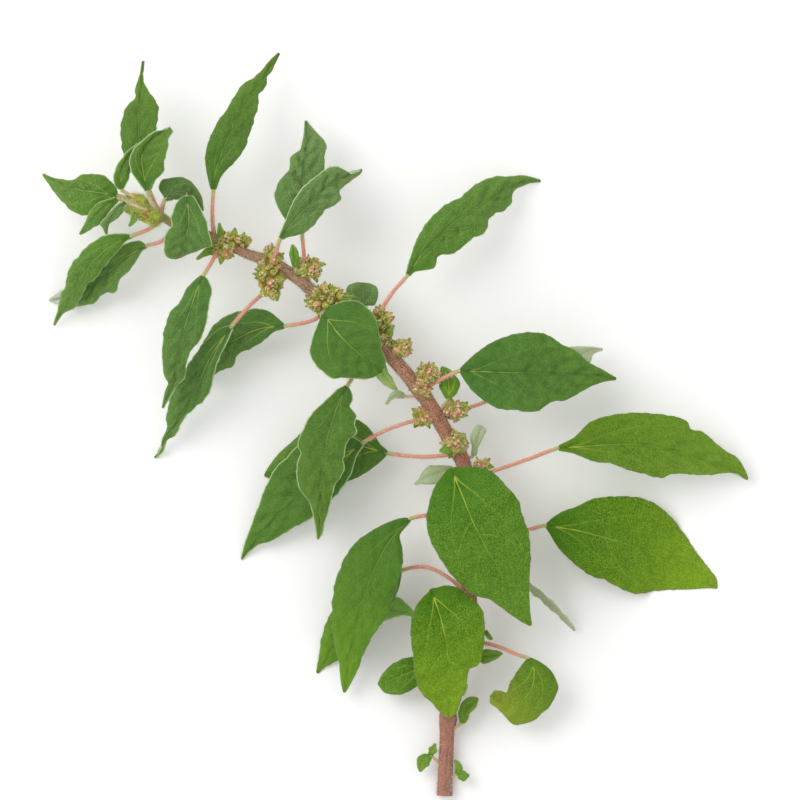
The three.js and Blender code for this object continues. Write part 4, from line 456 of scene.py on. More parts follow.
CLUSTERS = (
    Cluster("flowers_01", lumps=(Lump((21.3, -9.9, 14.2), (1.1, 0.8, 1), 4),),
        bracts=(Oval(((22, -9.8, 14.2), (20.6, -10.3, 14.2), (18.6, -11, 14)), 0.7),)),
    Cluster("flowers_02", lumps=(Lump((14.7, -4.3, 15.4), (2.3, 2, 2.6), 9),),
        bracts=(Oval(((14, -5, 17.2), (12.4, -5.8, 17.6), (10.8, -6.2, 16.8)), 1.5),)),
    Cluster("flowers_03", lumps=(Lump((6.9, 2.4, 15.4), (2, 1.5, 1.6), 7),)),
    Cluster("flowers_04", lumps=(Lump((14.4, 3.9, 15.2), (2.4, 1.6, 1.7), 7),)),
    Cluster("flowers_05", lumps=(Lump((7.7, 13.3, 17.2), (2.1, 1.5, 1.9), 6),
            Lump((6.5, 9.9, 17), (1.5, 1.9, 2.4), 5))),
    Cluster("flowers_06", lumps=(Lump((1.4, 19.4, 17.6), (1.7, 1.5, 1.7), 6),)),
    Cluster("flowers_07", lumps=(Lump((-3.9, 24.4, 17.6), (2.1, 4.8, 2.2), 10),),
        bracts=(Oval(((-3.2, 22.4, 18.8), (-1.6, 23.6, 19.6), (-0.6, 25.2, 19.2)), 0.7),)),
    Cluster("flowers_08", lumps=(Lump((-17.3, 31.3, 18.4), (4.3, 3.1, 2.6), 11),),
        bracts=(Oval(((-20.8, 31.6, 19.4), (-22, 31, 19.8), (-23, 31.4, 19.2)), 0.8),
            Oval(((-13.8, 31, 19.2), (-12.2, 31.8, 20.2), (-10.6, 32.6, 20)), 0.8))),
    Cluster("flowers_09", lumps=(Lump((-21.6, 39.4, 19.2), (2.3, 2, 1.9), 7),)),
    Cluster("flowers_10", lumps=(Lump((-31.4, 38.4, 19), (2.7, 5.8, 2.4), 12),),
        bracts=(Oval(((-30.4, 34.6, 19.4), (-29.6, 32.8, 20), (-29.8, 31.2, 19.6)), 0.8),)),
    Cluster("flowers_11", lumps=(Lump((-43.2, 44.7, 19.2), (2, 2.4, 2.4), 6),
            Lump((-40.6, 46.2, 19.4), (3.4, 1.6, 2.2), 5)),
        bracts=(Oval(((-44.6, 44.2, 19.8), (-47.2, 43.4, 20.6), (-49.8, 41.6, 19.4)), 1),
            Oval(((-43.6, 46.6, 20.4), (-43.9, 48.6, 21), (-44.2, 50.6, 20.4)), 0.9))),
    Cluster("apex_bud", lumps=(Lump((-64.3, 54.8, 21.6), (2.4, 2.6, 2.2), 7),
            Lump((-60.4, 52.2, 21), (1.8, 2, 1.8), 4)),
        bracts=(Oval(((-64.8, 53.2, 23.4), (-65.4, 51.4, 23.8), (-66.6, 49.8, 23)), 0.9),)),
)

# How much the skin of the upper blades is puckered, against the lower ones
QUILTED = {
    LeafTone.MID: 1.5,
    LeafTone.DEEP: 1.5,
    LeafTone.FRESH: 1.7,
    LeafTone.SOFT: 2.1,
    LeafTone.DOWNY: 2.5,
    LeafTone.FADED: 2.5,
}

LOWER_LEAF_COUNT = 15
TOP_BUD = "apex_bud"


def linear(code: str) -> tuple[float, float, float, float]:
    """Turns an sRGB hex colour into the linear colour that a shader takes.

    Args:
        code: Six hex digits.

    Returns:
        Red, green, blue and a full alpha.
    """
    shares = [int(code[at : at + 2], 16) / 255 for at in (0, 2, 4)]
    flat = [s / 12.92 if s <= 0.04045 else ((s + 0.055) / 1.055) ** 2.4 for s in shares]
    return flat[0], flat[1], flat[2], 1.0


@dataclass
class Shape:
    """Points, faces and named values of a mesh that is being put together, in millimetres.

    Args:
        names: The values that every point carries.
    """

    names: tuple[str, ...] = ()
    points: list[Array] = field(default_factory=list)
    faces: list[list[int]] = field(default_factory=list)
    finishes: list[int] = field(default_factory=list)
    values: dict[str, list[Array]] = field(default_factory=dict)
    count: int = 0

    def add(self, points: Array, faces: Array, finish: int = 0, **values: object) -> None:
        """Adds a closed body.

        Args:
            points: Its points.
            faces: Its faces, as rows of point numbers.
            finish: The number of its material.
            values: Its named values, each one number or one for every point.
        """
        self.points.append(points)
        self.faces.extend((faces + self.count).tolist())
        self.finishes.extend([finish] * len(faces))
        for name in self.names:
            filled = np.broadcast_to(np.asarray(values.get(name, 0.0), float), (len(points),))
            self.values.setdefault(name, []).append(filled)
        self.count += len(points)

    def join(self, points: Array, parts: Sequence[Array], finish: int = 0, **values: object) -> None:
        """Adds a closed body whose faces come in several groups, of three or four corners.

        Args:
            points: Its points.
            parts: The groups of its faces.
            finish: The number of its material.
            values: Its named values, each one number or one for every point.
        """
        self.add(points, parts[0], finish, **values)
        for part in parts[1:]:
            self.faces.extend((part + self.count - len(points)).tolist())
            self.finishes.extend([finish] * len(part))

    def piece(
        self,
        name: str,
        finishes: Sequence[Material],
        slot: str,
        stands_for: Sequence[str] = (),
    ) -> bpy.types.Object:
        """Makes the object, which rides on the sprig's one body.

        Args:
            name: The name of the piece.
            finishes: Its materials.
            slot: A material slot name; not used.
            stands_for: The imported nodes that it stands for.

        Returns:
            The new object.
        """
        mesh = bpy.data.meshes.new(name)
        mesh.from_pydata((np.concatenate(self.points) * MM).tolist(), [], self.faces)
        for finish in finishes:
            mesh.materials.append(finish)
        mesh.polygons.foreach_set("material_index", self.finishes)
        mesh.polygons.foreach_set("use_smooth", [True] * len(self.faces))
        for title, groups in self.values.items():
            mesh.attributes.new(title, "FLOAT", "POINT").data.foreach_set("value", np.concatenate(groups))
        mesh.update()
        made = bpy.data.objects.new(name, mesh)
        bpy.context.scene.collection.objects.link(made)
        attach(made, BODY)
        if stands_for:
            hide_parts(*stands_for)
        LOG.info("%s: %d faces", name, len(self.faces))
        return made


class Curve:
    """A smooth line through points, a centripetal Catmull-Rom curve, read by its share of the length."""

    STEPS = 400

    def __init__(self, points: Sequence[Sequence[float]]) -> None:
        """Measures the line.

        Args:
            points: The points that it passes.
        """
        self.points = np.array(points, float)
        self.grid = np.linspace(0, 1, self.STEPS + 1)
        steps = np.diff(self.at_knots(self.grid), axis=0)
        reached = np.concatenate([[0.0], np.cumsum(np.linalg.norm(steps, axis=1))])
        self.length = float(reached[-1])
        self.shares = reached / self.length

    def at_knots(self, t: Array) -> Array:
        """The points at places counted by knots.

        Args:
            t: The places, from 0 at the first knot to 1 at the last, with the knots spaced evenly.

        Returns:
            The points.
        """
        last = len(self.points) - 1
        place = np.asarray(t, float) * last
        start = np.clip(np.floor(place).astype(int), 0, last - 1)
        w = (place - start)[:, None]
        before = 2 * self.points[0] - self.points[1]
        after = 2 * self.points[-1] - self.points[-2]
        knots = np.vstack([before, self.points, after])
        p0, p1, p2, p3 = (knots[start + step] for step in range(4))
        gap0 = np.sqrt(np.linalg.norm(p0 - p1, axis=1))[:, None]
        gap1 = np.sqrt(np.linalg.norm(p1 - p2, axis=1))[:, None]
        gap2 = np.sqrt(np.linalg.norm(p2 - p3, axis=1))[:, None]
        m1 = ((p1 - p0) / gap0 - (p2 - p0) / (gap0 + gap1) + (p2 - p1) / gap1) * gap1
        m2 = ((p2 - p1) / gap1 - (p3 - p1) / (gap1 + gap2) + (p3 - p2) / gap2) * gap1
        cubic = 2 * p1 - 2 * p2 + m1 + m2
        square = -3 * p1 + 3 * p2 - 2 * m1 - m2
        return p1 + m1 * w + square * w**2 + cubic * w**3

    def at(self, u: Array) -> Array:
        """The points at shares u of the length."""
        return self.at_knots(np.interp(u, self.shares, self.grid))

    def heading(self, u: Array) -> Array:
        """The directions of travel.

        Args:
            u: The shares of the length at which they are wanted.

        Returns:
            Unit vectors.
        """
        reach = 1e-3
        u = np.asarray(u, float)
        ahead = self.at(np.clip(u + reach, 0, 1)) - self.at(np.clip(u - reach, 0, 1))
        return ahead / np.linalg.norm(ahead, axis=1, keepdims=True)


def level_left(heading: Array) -> Array:
    """The level unit vectors to the left of directions of travel."""
    left = np.stack([-heading[..., 1], heading[..., 0], np.zeros(heading.shape[:-1])], axis=-1)
    return left / np.linalg.norm(left, axis=-1, keepdims=True)


def unit(vectors: Array) -> Array:
    """The vectors at a length of one."""
    return vectors / np.linalg.norm(vectors, axis=-1, keepdims=True)


def ring_faces(rings: int, sides: int) -> Array:
    """The four-cornered faces of a tube whose points go round ring by ring.

    Args:
        rings: How many rings of points it has.
        sides: How many points a ring has.

    Returns:
        The faces, facing away from the axis where the points go round to the left.
    """
    ring, side = np.meshgrid(np.arange(rings - 1), np.arange(sides), indexing="ij")
    a = ring * sides + side
    b = ring * sides + (side + 1) % sides
    return np.stack([a, b, b + sides, a + sides], axis=-1).reshape(-1, 4)


def fan_faces(sides: int, start: int, centre: int, forward: bool) -> Array:
    """The three-cornered faces that close a ring with a point in its middle.

    Args:
        sides: How many points the ring has.
        start: The number of its first point.
        centre: The number of the point in the middle.
        forward: Whether the faces go round as the points do.

    Returns:
        The faces.
    """
    side = np.arange(sides)
    a = start + side
    b = start + (side + 1) % sides
    middle = np.full(sides, centre)
    return np.stack([a, b, middle] if forward else [b, a, middle], axis=-1)


def closed_faces(rings: int, sides: int, turned: bool = False) -> list[Array]:
    """The faces of a tube and of its two ends, each closed by a point that comes after the rings.

    Args:
        rings: How many rings of points it has.
        sides: How many points a ring has.
        turned: Whether the points go round to the right.

    Returns:
        The faces of the tube, of its foot and of its end.
    """
    total = rings * sides
    tube = ring_faces(rings, sides)
    return [
        tube[:, ::-1] if turned else tube,
        fan_faces(sides, 0, total, turned),
        fan_faces(sides, total - sides, total + 1, not turned),
    ]


def sheet_faces(rows: int, columns: int) -> Array:
    """The faces of a thin sheet whose upper points all come first, and then its lower ones.

    Args:
        rows: How many rows of points each side has.
        columns: How many points a row has.

    Returns:
        The faces of both sides and of the rim between them.
    """
    number = np.arange(rows * columns).reshape(rows, columns)
    a, b, c, d = number[:-1, :-1], number[:-1, 1:], number[1:, :-1], number[1:, 1:]
    total = rows * columns
    top = np.stack([a, c, d, b], axis=-1).reshape(-1, 4)
    bottom = total + np.stack([a, b, d, c], axis=-1).reshape(-1, 4)
    border = np.concatenate([number[0, :-1], number[:-1, -1], number[-1, :0:-1], number[:0:-1, 0]])
    after = np.roll(border, -1)
    rim = np.stack([border, after, after + total, border + total], axis=-1)
    return np.concatenate([top, bottom, rim])


def crowded(steps: int, share: float) -> Array:
    """Numbers from 0 to 1 that lie closer together at both ends, the more so the larger the share."""
    even = np.linspace(0, 1, steps + 1)
    return (1 - share) * even + share * (1 - np.cos(math.pi * even)) / 2


def once_round(sides: int) -> Array:
    """The angles of points that stand evenly round a ring."""
    return np.linspace(0, 2 * math.pi, sides, endpoint=False)


def ribs(angle: Array, reached: Array, pattern: Point) -> Array:
    """Low ribs that run along a limb.

    Args:
        angle: The angles of the points of a ring.
        reached: How far along the limb each ring is, in millimetres.
        pattern: Their height, their number, their turn for each millimetre, and the angle they start at.

    Returns:
        The heights, one for each ring and point.
    """
    height, number, turn, start = pattern
    return height * np.sin(number * angle[None, :] + turn * reached[:, None] + start)


def carried_sides(heading: Array) -> Array:
    """Side vectors carried along a line without twist.

    Args:
        heading: The unit headings along the line.

    Returns:
        A unit vector for each, the first one level.
    """
    side = level_left(heading[:1])[0]
    sides = []
    for way in heading:
        side = side - way * np.dot(side, way)
        side = side / np.linalg.norm(side)
        sides.append(side)
    return np.array(sides)


def around(places: Array, angle: Array) -> tuple[Array, Array]:
    """The headings along a line, and the directions that stand out of it all round.

    Args:
        places: The points of the line.
        angle: The angles at which they stand, one for each side.

    Returns:
        A unit vector for each point, and one for each point and side.
    """
    heading = unit(np.gradient(places, axis=0))
    side = carried_sides(heading)
    normal = np.cross(heading, side)
    out = -np.cos(angle)[None, :, None] * side[:, None] - np.sin(angle)[None, :, None] * normal[:, None]
    return heading, out


def sheet_normals(middle: Array) -> Array:
    """The unit vectors that stand on a sheet, given by a grid of points."""
    return unit(np.cross(np.gradient(middle, axis=0), np.gradient(middle, axis=1)))


def groove(away: Array, size: Point) -> Array:
    """The depth of a soft groove with that greatest depth and half width, by the distance from it."""
    return size[0] * np.exp(-((away / size[1]) ** 2))


@dataclass(frozen=True)
class Hairs:
    """Fine hairs, each a closed three-sided needle, a little wider than life so that they show.

    Args:
        width_mm: The width at the root; the real hair is about 0.03 mm wide.
        shortest_mm: The least length.
        longest_mm: The greatest length.
    """

    width_mm: float
    shortest_mm: float
    longest_mm: float

    # How much the directions differ, and how high above the surface the tips stay
    SCATTER = 0.22
    CLEAR_MM = 0.02

    def grow(self, shape: Shape, roots: Array, ways: Array, random: np.random.Generator) -> None:
        """Adds one hair at each root.

        Args:
            shape: The mesh that gets them.
            roots: The points that they grow from.
            ways: The directions that they grow in.
            random: The source of their lengths and their scatter.
        """
        count = len(roots)
        if count == 0:
            return
        ways = unit(ways + random.normal(0, self.SCATTER, (count, 3)))
        turned = unit(np.cross(ways, random.normal(0, 1, (count, 3))))
        third = np.cross(ways, turned)
        lengths = random.uniform(self.shortest_mm, self.longest_mm, (count, 1))
        corners = []
        for corner in range(3):
            angle = 2 * math.pi * corner / 3
            side = math.cos(angle) * turned + math.sin(angle) * third
            corners.append(roots + side * self.width_mm / 2)
        tips = roots + ways * lengths
        tips[:, 2] = np.maximum(tips[:, 2], self.CLEAR_MM)
        points = np.stack([*corners, tips], axis=1).reshape(-1, 3)
        first = 4 * np.arange(count)[:, None, None]
        needle = np.array([[0, 1, 3], [1, 2, 3], [2, 0, 3], [0, 2, 1]])[None]
        shape.add(points, (first + needle).reshape(-1, 3))


@dataclass
class Blade:
    """A leaf blade: one thin closed body with sunken veins above and raised ones below.

    Args:
        leaf: Its drawn lines.
        seed: What its fine waves start from.
        puff_mm: How far each half stands up between the rib and the edge.
    """

    leaf: Leaf
    seed: int
    puff_mm: float = 0.45
    thickness_mm: float = 0.34
    base_half_mm: float = 0.7
    tip_half_mm: float = 0.32
    row_mm: float = 0.46
    column_mm: float = 0.48
    junction_mm: float = 2.3
    basal_sweep: float = 0.8
    basal_power: float = 1.45
    side_start: float = 0.4
    side_sweep: float = 0.3
    side_power: float = 1.4
    side_spacing: float = 0.16

    NAMES = (
        "along", "beyond_mm", "midrib_mm", "basal_mm", "side_phase", "side_mm", "edge_mm", "above", "downy",
        "fork",
    )
    # The fewest and the most rows of points along a blade, and columns over half its width
    ROWS = (10, 92)
    COLUMNS = (5, 20)
    # How much the rows crowd at both ends, and the columns at the rib and the edge
    CROWDING = (0.4, 0.5)
    # The shares of the length where the width is measured
    MEASURED = np.array([0.3, 0.5, 0.7])
    # The least half width that the veins are worked out with, and the greatest share of the joint
    LEAST_HALF_MM = 0.2
    JUNCTION_SHARE = 0.12
    # The sweep of the side veins: its share at the base, and what it loses towards the tip
    SWEEPS = (1.3, 0.6)
    # The length of a blade from which on its relief has its full depth
    FULL_MM = 40
    # How much of the midrib's depth is lost towards the tip, above and in the keel below
    MIDRIB_LOSS = 0.75
    KEEL_LOSS = 0.8
    # How far behind the blade's base the keels begin
    KEEL_BEHIND_MM = 3
    # The distances from the basal veins and from the edge over which puckers and waves set in
    INSIDE_MM = 1.2
    EDGE_MM = 1.5
    # How much thinner the very edge is, and how sharply it thins
    EDGE_THINNING = (0.6, 8)
    # Depth and half width in millimetres of the sunken veins above, and of their keels below
    MIDRIB = (0.15, 0.4)
    BASAL = (0.08, 0.45)
    SIDE = (0.07, 0.5)
    MIDRIB_KEEL = (0.42, 0.42)
    BASAL_KEEL = (0.12, 0.35)
    PUCKER_MM = 0.06
    # Length and height in millimetres of the uneven waves of the skin, of the edge, and of its outline
    COCKLES = ((6.5, 0.1), (3.4, 0.07), (2.1, 0.045))
    RIPPLES = ((5.6, 0.22), (3.1, 0.13))
    NICKS = ((3.3, 0.07), (1.9, 0.05))
    # How far the hairs of the edge lean towards the tip and up, and those of the skin stand up
    FRINGE_LEAN = (0.7, 0.15)
    SKIN_LEAN = 0.55
    # The area of a blade against its length times its mean width
    FILLED = 0.7

    def __post_init__(self) -> None:
        """Draws the rib and the two edges."""
        self.random = np.random.default_rng(self.seed)
        self.rib = Curve(self.leaf.rib)
        self.left = self.edge(self.leaf.left, 1)
        self.right = self.edge(self.leaf.right, -1)
        self.longest = max(self.rib.length, self.left.length, self.right.length)

    def edge(self, points: Line, sign: int) -> Curve:
        """The plan of one edge, from the end of the stalk to the tip.

        Args:
            points: The points that it passes.
            sign: 1 for the left edge, -1 for the right one.

        Returns:
            The curve, in plan.
        """
        ends = self.rib.at(np.array([0.0, 1.0]))
        sides = level_left(self.rib.heading(np.array([0.0, 1.0])))
        start = ends[0] + sign * self.base_half_mm * sides[0]
        end = ends[1] + sign * self.tip_half_mm * sides[1]
        return Curve([start[:2], *points, end[:2]])

    def shares(self) -> tuple[Array, Array]:
        """The places at which the surface is worked out.

        Returns:
            The shares of the length, and those of the half width from the right edge to the left one.
        """
        rows = int(np.clip(round(self.longest / self.row_mm), *self.ROWS))
        across = self.left.at(self.MEASURED) - self.right.at(self.MEASURED)
        reach = np.linalg.norm(across, axis=1).max() / 2
        columns = int(np.clip(round(reach / self.column_mm), *self.COLUMNS))
        half = crowded(columns, self.CROWDING[1])
        return crowded(rows, self.CROWDING[0]), np.concatenate([-half[:0:-1], half])

    def lines(self, u: Array, v: Array) -> dict[str, Array]:
        """How far each place on the blade is from its veins and its edge.

        Args:
            u: The shares of the length, one a row.
            v: The shares of the half width, from -1 on the right edge to 1 on the left one.

        Returns:
            The values by name, as grids of rows and columns.
        """
        centre = self.rib.at(u)[:, None, :2]
        left = self.left.at(u)[:, None, :]
        right = self.right.at(u)[:, None, :]
        toward = np.where(v[None, :, None] >= 0, left, right) - centre
        half = np.maximum(np.linalg.norm(toward, axis=2), self.LEAST_HALF_MM)
        share = np.abs(v)[None, :]
        along = u[:, None]
        # The strength of each side's pale rim, partly marginal hair and partly a painted highlight, carried
        # as the downy value
        downy = self.leaf.downy_lit_rims
        length = self.rib.length
        junction = min(self.junction_mm / length, self.JUNCTION_SHARE)
        ahead = (along - junction - self.basal_sweep * share**self.basal_power) * length
        slope = self.basal_sweep * self.basal_power * share ** (self.basal_power - 1) * length / half
        basal = ahead / np.sqrt(1 + slope**2)
        shift = np.where(v[None, :] >= 0, 0.0, 0.5)
        sweep = self.side_sweep * (self.SWEEPS[0] - self.SWEEPS[1] * along)
        phase = (along - self.side_start - sweep * share**self.side_power) / self.side_spacing + shift
        slope = sweep * self.side_power * share ** (self.side_power - 1) * length / half
        return {
            "toward": toward / half[:, :, None],
            "share": share + 0 * along,
            "along": along + 0 * share,
            "beyond_mm": (along - junction) * length + 0 * share,
            "downy": np.where(v >= 0, downy[0], downy[1])[None, :] + 0 * along,
            "fork": self.leaf.fork + 0 * along + 0 * share,
            "midrib_mm": share * half * np.sign(v)[None, :],
            "basal_mm": basal,
            "side_phase": phase,
            "side_mm": self.side_spacing * length / np.sqrt(1 + slope**2),
            "edge_mm": (1 - share) * half,
        }

    def relief(self, lines: dict[str, Array]) -> Array:
        """The height of the sunken veins, of the skin puffed up between them, and of the edge's waves.

        Args:
            lines: How far each place is from the veins and the edge.

        Returns:
            The height of each place over the middle surface, in millimetres.
        """
        span = math.sqrt(min(self.longest / self.FULL_MM, 1.0))
        fade = (1 - self.MIDRIB_LOSS * lines["along"]) * np.clip(lines["beyond_mm"] + 1.0, 0, 1)
        midrib = -fade * groove(lines["midrib_mm"], self.MIDRIB)
        basal = -groove(lines["basal_mm"], self.BASAL) * (1 - lines["share"] ** 2)
        phase = lines["side_phase"]
        away = np.abs(phase - np.round(phase)) * lines["side_mm"]
        inside = np.clip(lines["basal_mm"] / self.INSIDE_MM, 0, 1) * np.clip(phase + 0.5, 0, 1)
        puckers = QUILTED.get(self.leaf.tone, 1.0)
        side = -puckers * (groove(away, self.SIDE) + self.PUCKER_MM * np.cos(2 * math.pi * phase))
        side *= inside * (1 - lines["share"] ** 2)
        reach = lines["along"] * self.rib.length
        across = lines["midrib_mm"]
        cockle = np.zeros_like(reach)
        for wave_mm, height in self.COCKLES:
            height *= puckers if wave_mm < self.COCKLES[0][0] else 1.0
            for _ in range(3):
                angle = self.random.uniform(0, math.pi)
                start = self.random.uniform(0, 2 * math.pi)
                turn = math.cos(angle) * reach + math.sin(angle) * across
                cockle += height * np.sin(2 * math.pi * turn / wave_mm + start)
        cockle *= np.clip(np.minimum(lines["edge_mm"] / self.EDGE_MM, np.abs(across)), 0, 1)
        ripple = np.zeros_like(reach)
        for wave_mm, height in self.RIPPLES:
            start = self.random.uniform(0, 2 * math.pi, 2)
            start = np.where(across >= 0, start[0], start[1])
            ripple += height * np.sin(2 * math.pi * reach / wave_mm + start)
        ripple *= lines["share"] ** 3 * np.sin(math.pi * lines["along"])
        return span * (midrib + basal + side + cockle + ripple)

    def middle(self, u: Array, v: Array, lines: dict[str, Array]) -> Array:
        """The middle surface of the blade, without its fine relief.

        Args:
            u: The shares of the length, one a row.
            v: The shares of the half width, one a column.
            lines: How far each place is from the veins and the edge.

        Returns:
            The points, as a grid of rows and columns.
        """
        leaf = self.leaf
        share = lines["share"]
        sign = np.where(v >= 0, 1.0, -1.0)[None, :]
        centre = self.rib.at(u)[:, None, :]
        left = self.left.at(u)[:, None, :]
        right = self.right.at(u)[:, None, :]
        edge = np.where(v[None, :, None] >= 0, left, right)
        arch = np.sin(math.pi * np.clip(u, 0, 1))[:, None]
        rise = np.where(v >= 0, leaf.rise[0], leaf.rise[1])[None, :]
        height, count, phase = leaf.wave
        wave = height * share**2 * np.sin(2 * math.pi * (count * u[:, None] + phase * sign))
        puff = self.puff_mm * np.sin(math.pi * share)
        plan = centre[..., :2] + (edge - centre[..., :2]) * share[..., None]
        z = centre[..., 2] + rise * share * np.sqrt(np.maximum(arch, 0)) + (wave + puff) * arch
        return np.concatenate([plan, z[..., None]], axis=2)

    def build(self, shape: Shape) -> None:
        """Adds the blade to a mesh, and keeps its upper side for the hairs.

        Args:
            shape: The mesh that gets it.
        """
        u, v = self.shares()
        lines = self.lines(u, v)
        middle = self.middle(u, v, lines)
        middle = middle + sheet_normals(middle) * self.relief(lines)[..., None]
        reach = lines["along"] * self.rib.length
        nick = np.zeros_like(reach)
        starts = self.random.uniform(0, 2 * math.pi, len(self.NICKS))
        for (wave_mm, height), start in zip(self.NICKS, starts):
            nick += height * np.sin(2 * math.pi * reach / wave_mm + start)
        nick *= lines["share"] ** 2 * np.sin(math.pi * lines["along"])
        middle[..., :2] += lines["toward"] * nick[..., None]
        thinner, power = self.EDGE_THINNING
        half = self.thickness_mm / 2 * (1 - thinner * lines["share"] ** power)
        keel = groove(lines["midrib_mm"], self.MIDRIB_KEEL) * (1 - self.KEEL_LOSS * lines["along"])
        keel += groove(lines["basal_mm"], self.BASAL_KEEL) * (1 - lines["share"])
        begun = lines["beyond_mm"] + self.KEEL_BEHIND_MM
        keel *= np.clip(min(self.longest / self.FULL_MM, 1.0) * begun / self.KEEL_BEHIND_MM, 0, 1)
        normal = sheet_normals(middle)
        upper = middle + normal * half[..., None]
        lower = middle - normal * (half + keel)[..., None]
        sunk = np.minimum(np.minimum(upper[..., 2], lower[..., 2]), 0)
        upper[..., 2] -= sunk
        lower[..., 2] -= sunk
        values = {name: np.tile(lines[name].reshape(-1), 2) for name in self.NAMES if name in lines}
        values["above"] = np.repeat([1.0, 0.0], half.size)
        points = np.concatenate([upper.reshape(-1, 3), lower.reshape(-1, 3)])
        shape.add(points, sheet_faces(len(u), len(v)), **values)
        self.upper, self.normal = upper, normal

    def grow_hairs(self, shape: Shape, margin: Hairs, skin: Hairs, per_mm: float, per_mm2: float) -> None:
        """Adds the fringe of the edges and the short hairs of the skin.

        Args:
            shape: The mesh that gets them.
            margin: The hairs of the edges.
            skin: The hairs of the upper skin.
            per_mm: How many grow on each millimetre of edge.
            per_mm2: How many grow on each square millimetre of skin.
        """
        rows, columns = self.upper.shape[:2]
        forward = unit(np.gradient(self.upper, axis=0))
        outward = unit(np.gradient(self.upper, axis=1))
        for column, sign, length in ((0, -1, self.right.length), (columns - 1, 1, self.left.length)):
            count = int(length * per_mm)
            place = self.random.uniform(1, rows - 2, count)
            row = place.astype(int)
            w = (place - row)[:, None]
            roots = self.upper[row, column] * (1 - w) + self.upper[row + 1, column] * w
            roots = roots - self.normal[row, column] * self.thickness_mm / 4
            ways = sign * outward[row, column] + self.FRINGE_LEAN[0] * forward[row, column]
            ways = ways + self.FRINGE_LEAN[1] * self.normal[row, column]
            margin.grow(shape, roots, ways, self.random)
        widths = np.linalg.norm(self.upper[:, 0] - self.upper[:, -1], axis=1)
        area = self.rib.length * self.FILLED * widths.mean()
        count = int(area * per_mm2)
        row = self.random.integers(2, rows - 2, count)
        column = self.random.integers(1, columns - 1, count)
        w = self.random.uniform(0, 1, (count, 1))
        roots = self.upper[row, column] * w + self.upper[row + 1, column] * (1 - w)
        ways = self.SKIN_LEAN * self.normal[row, column] + forward[row, column]
        skin.grow(shape, roots, ways, self.random)


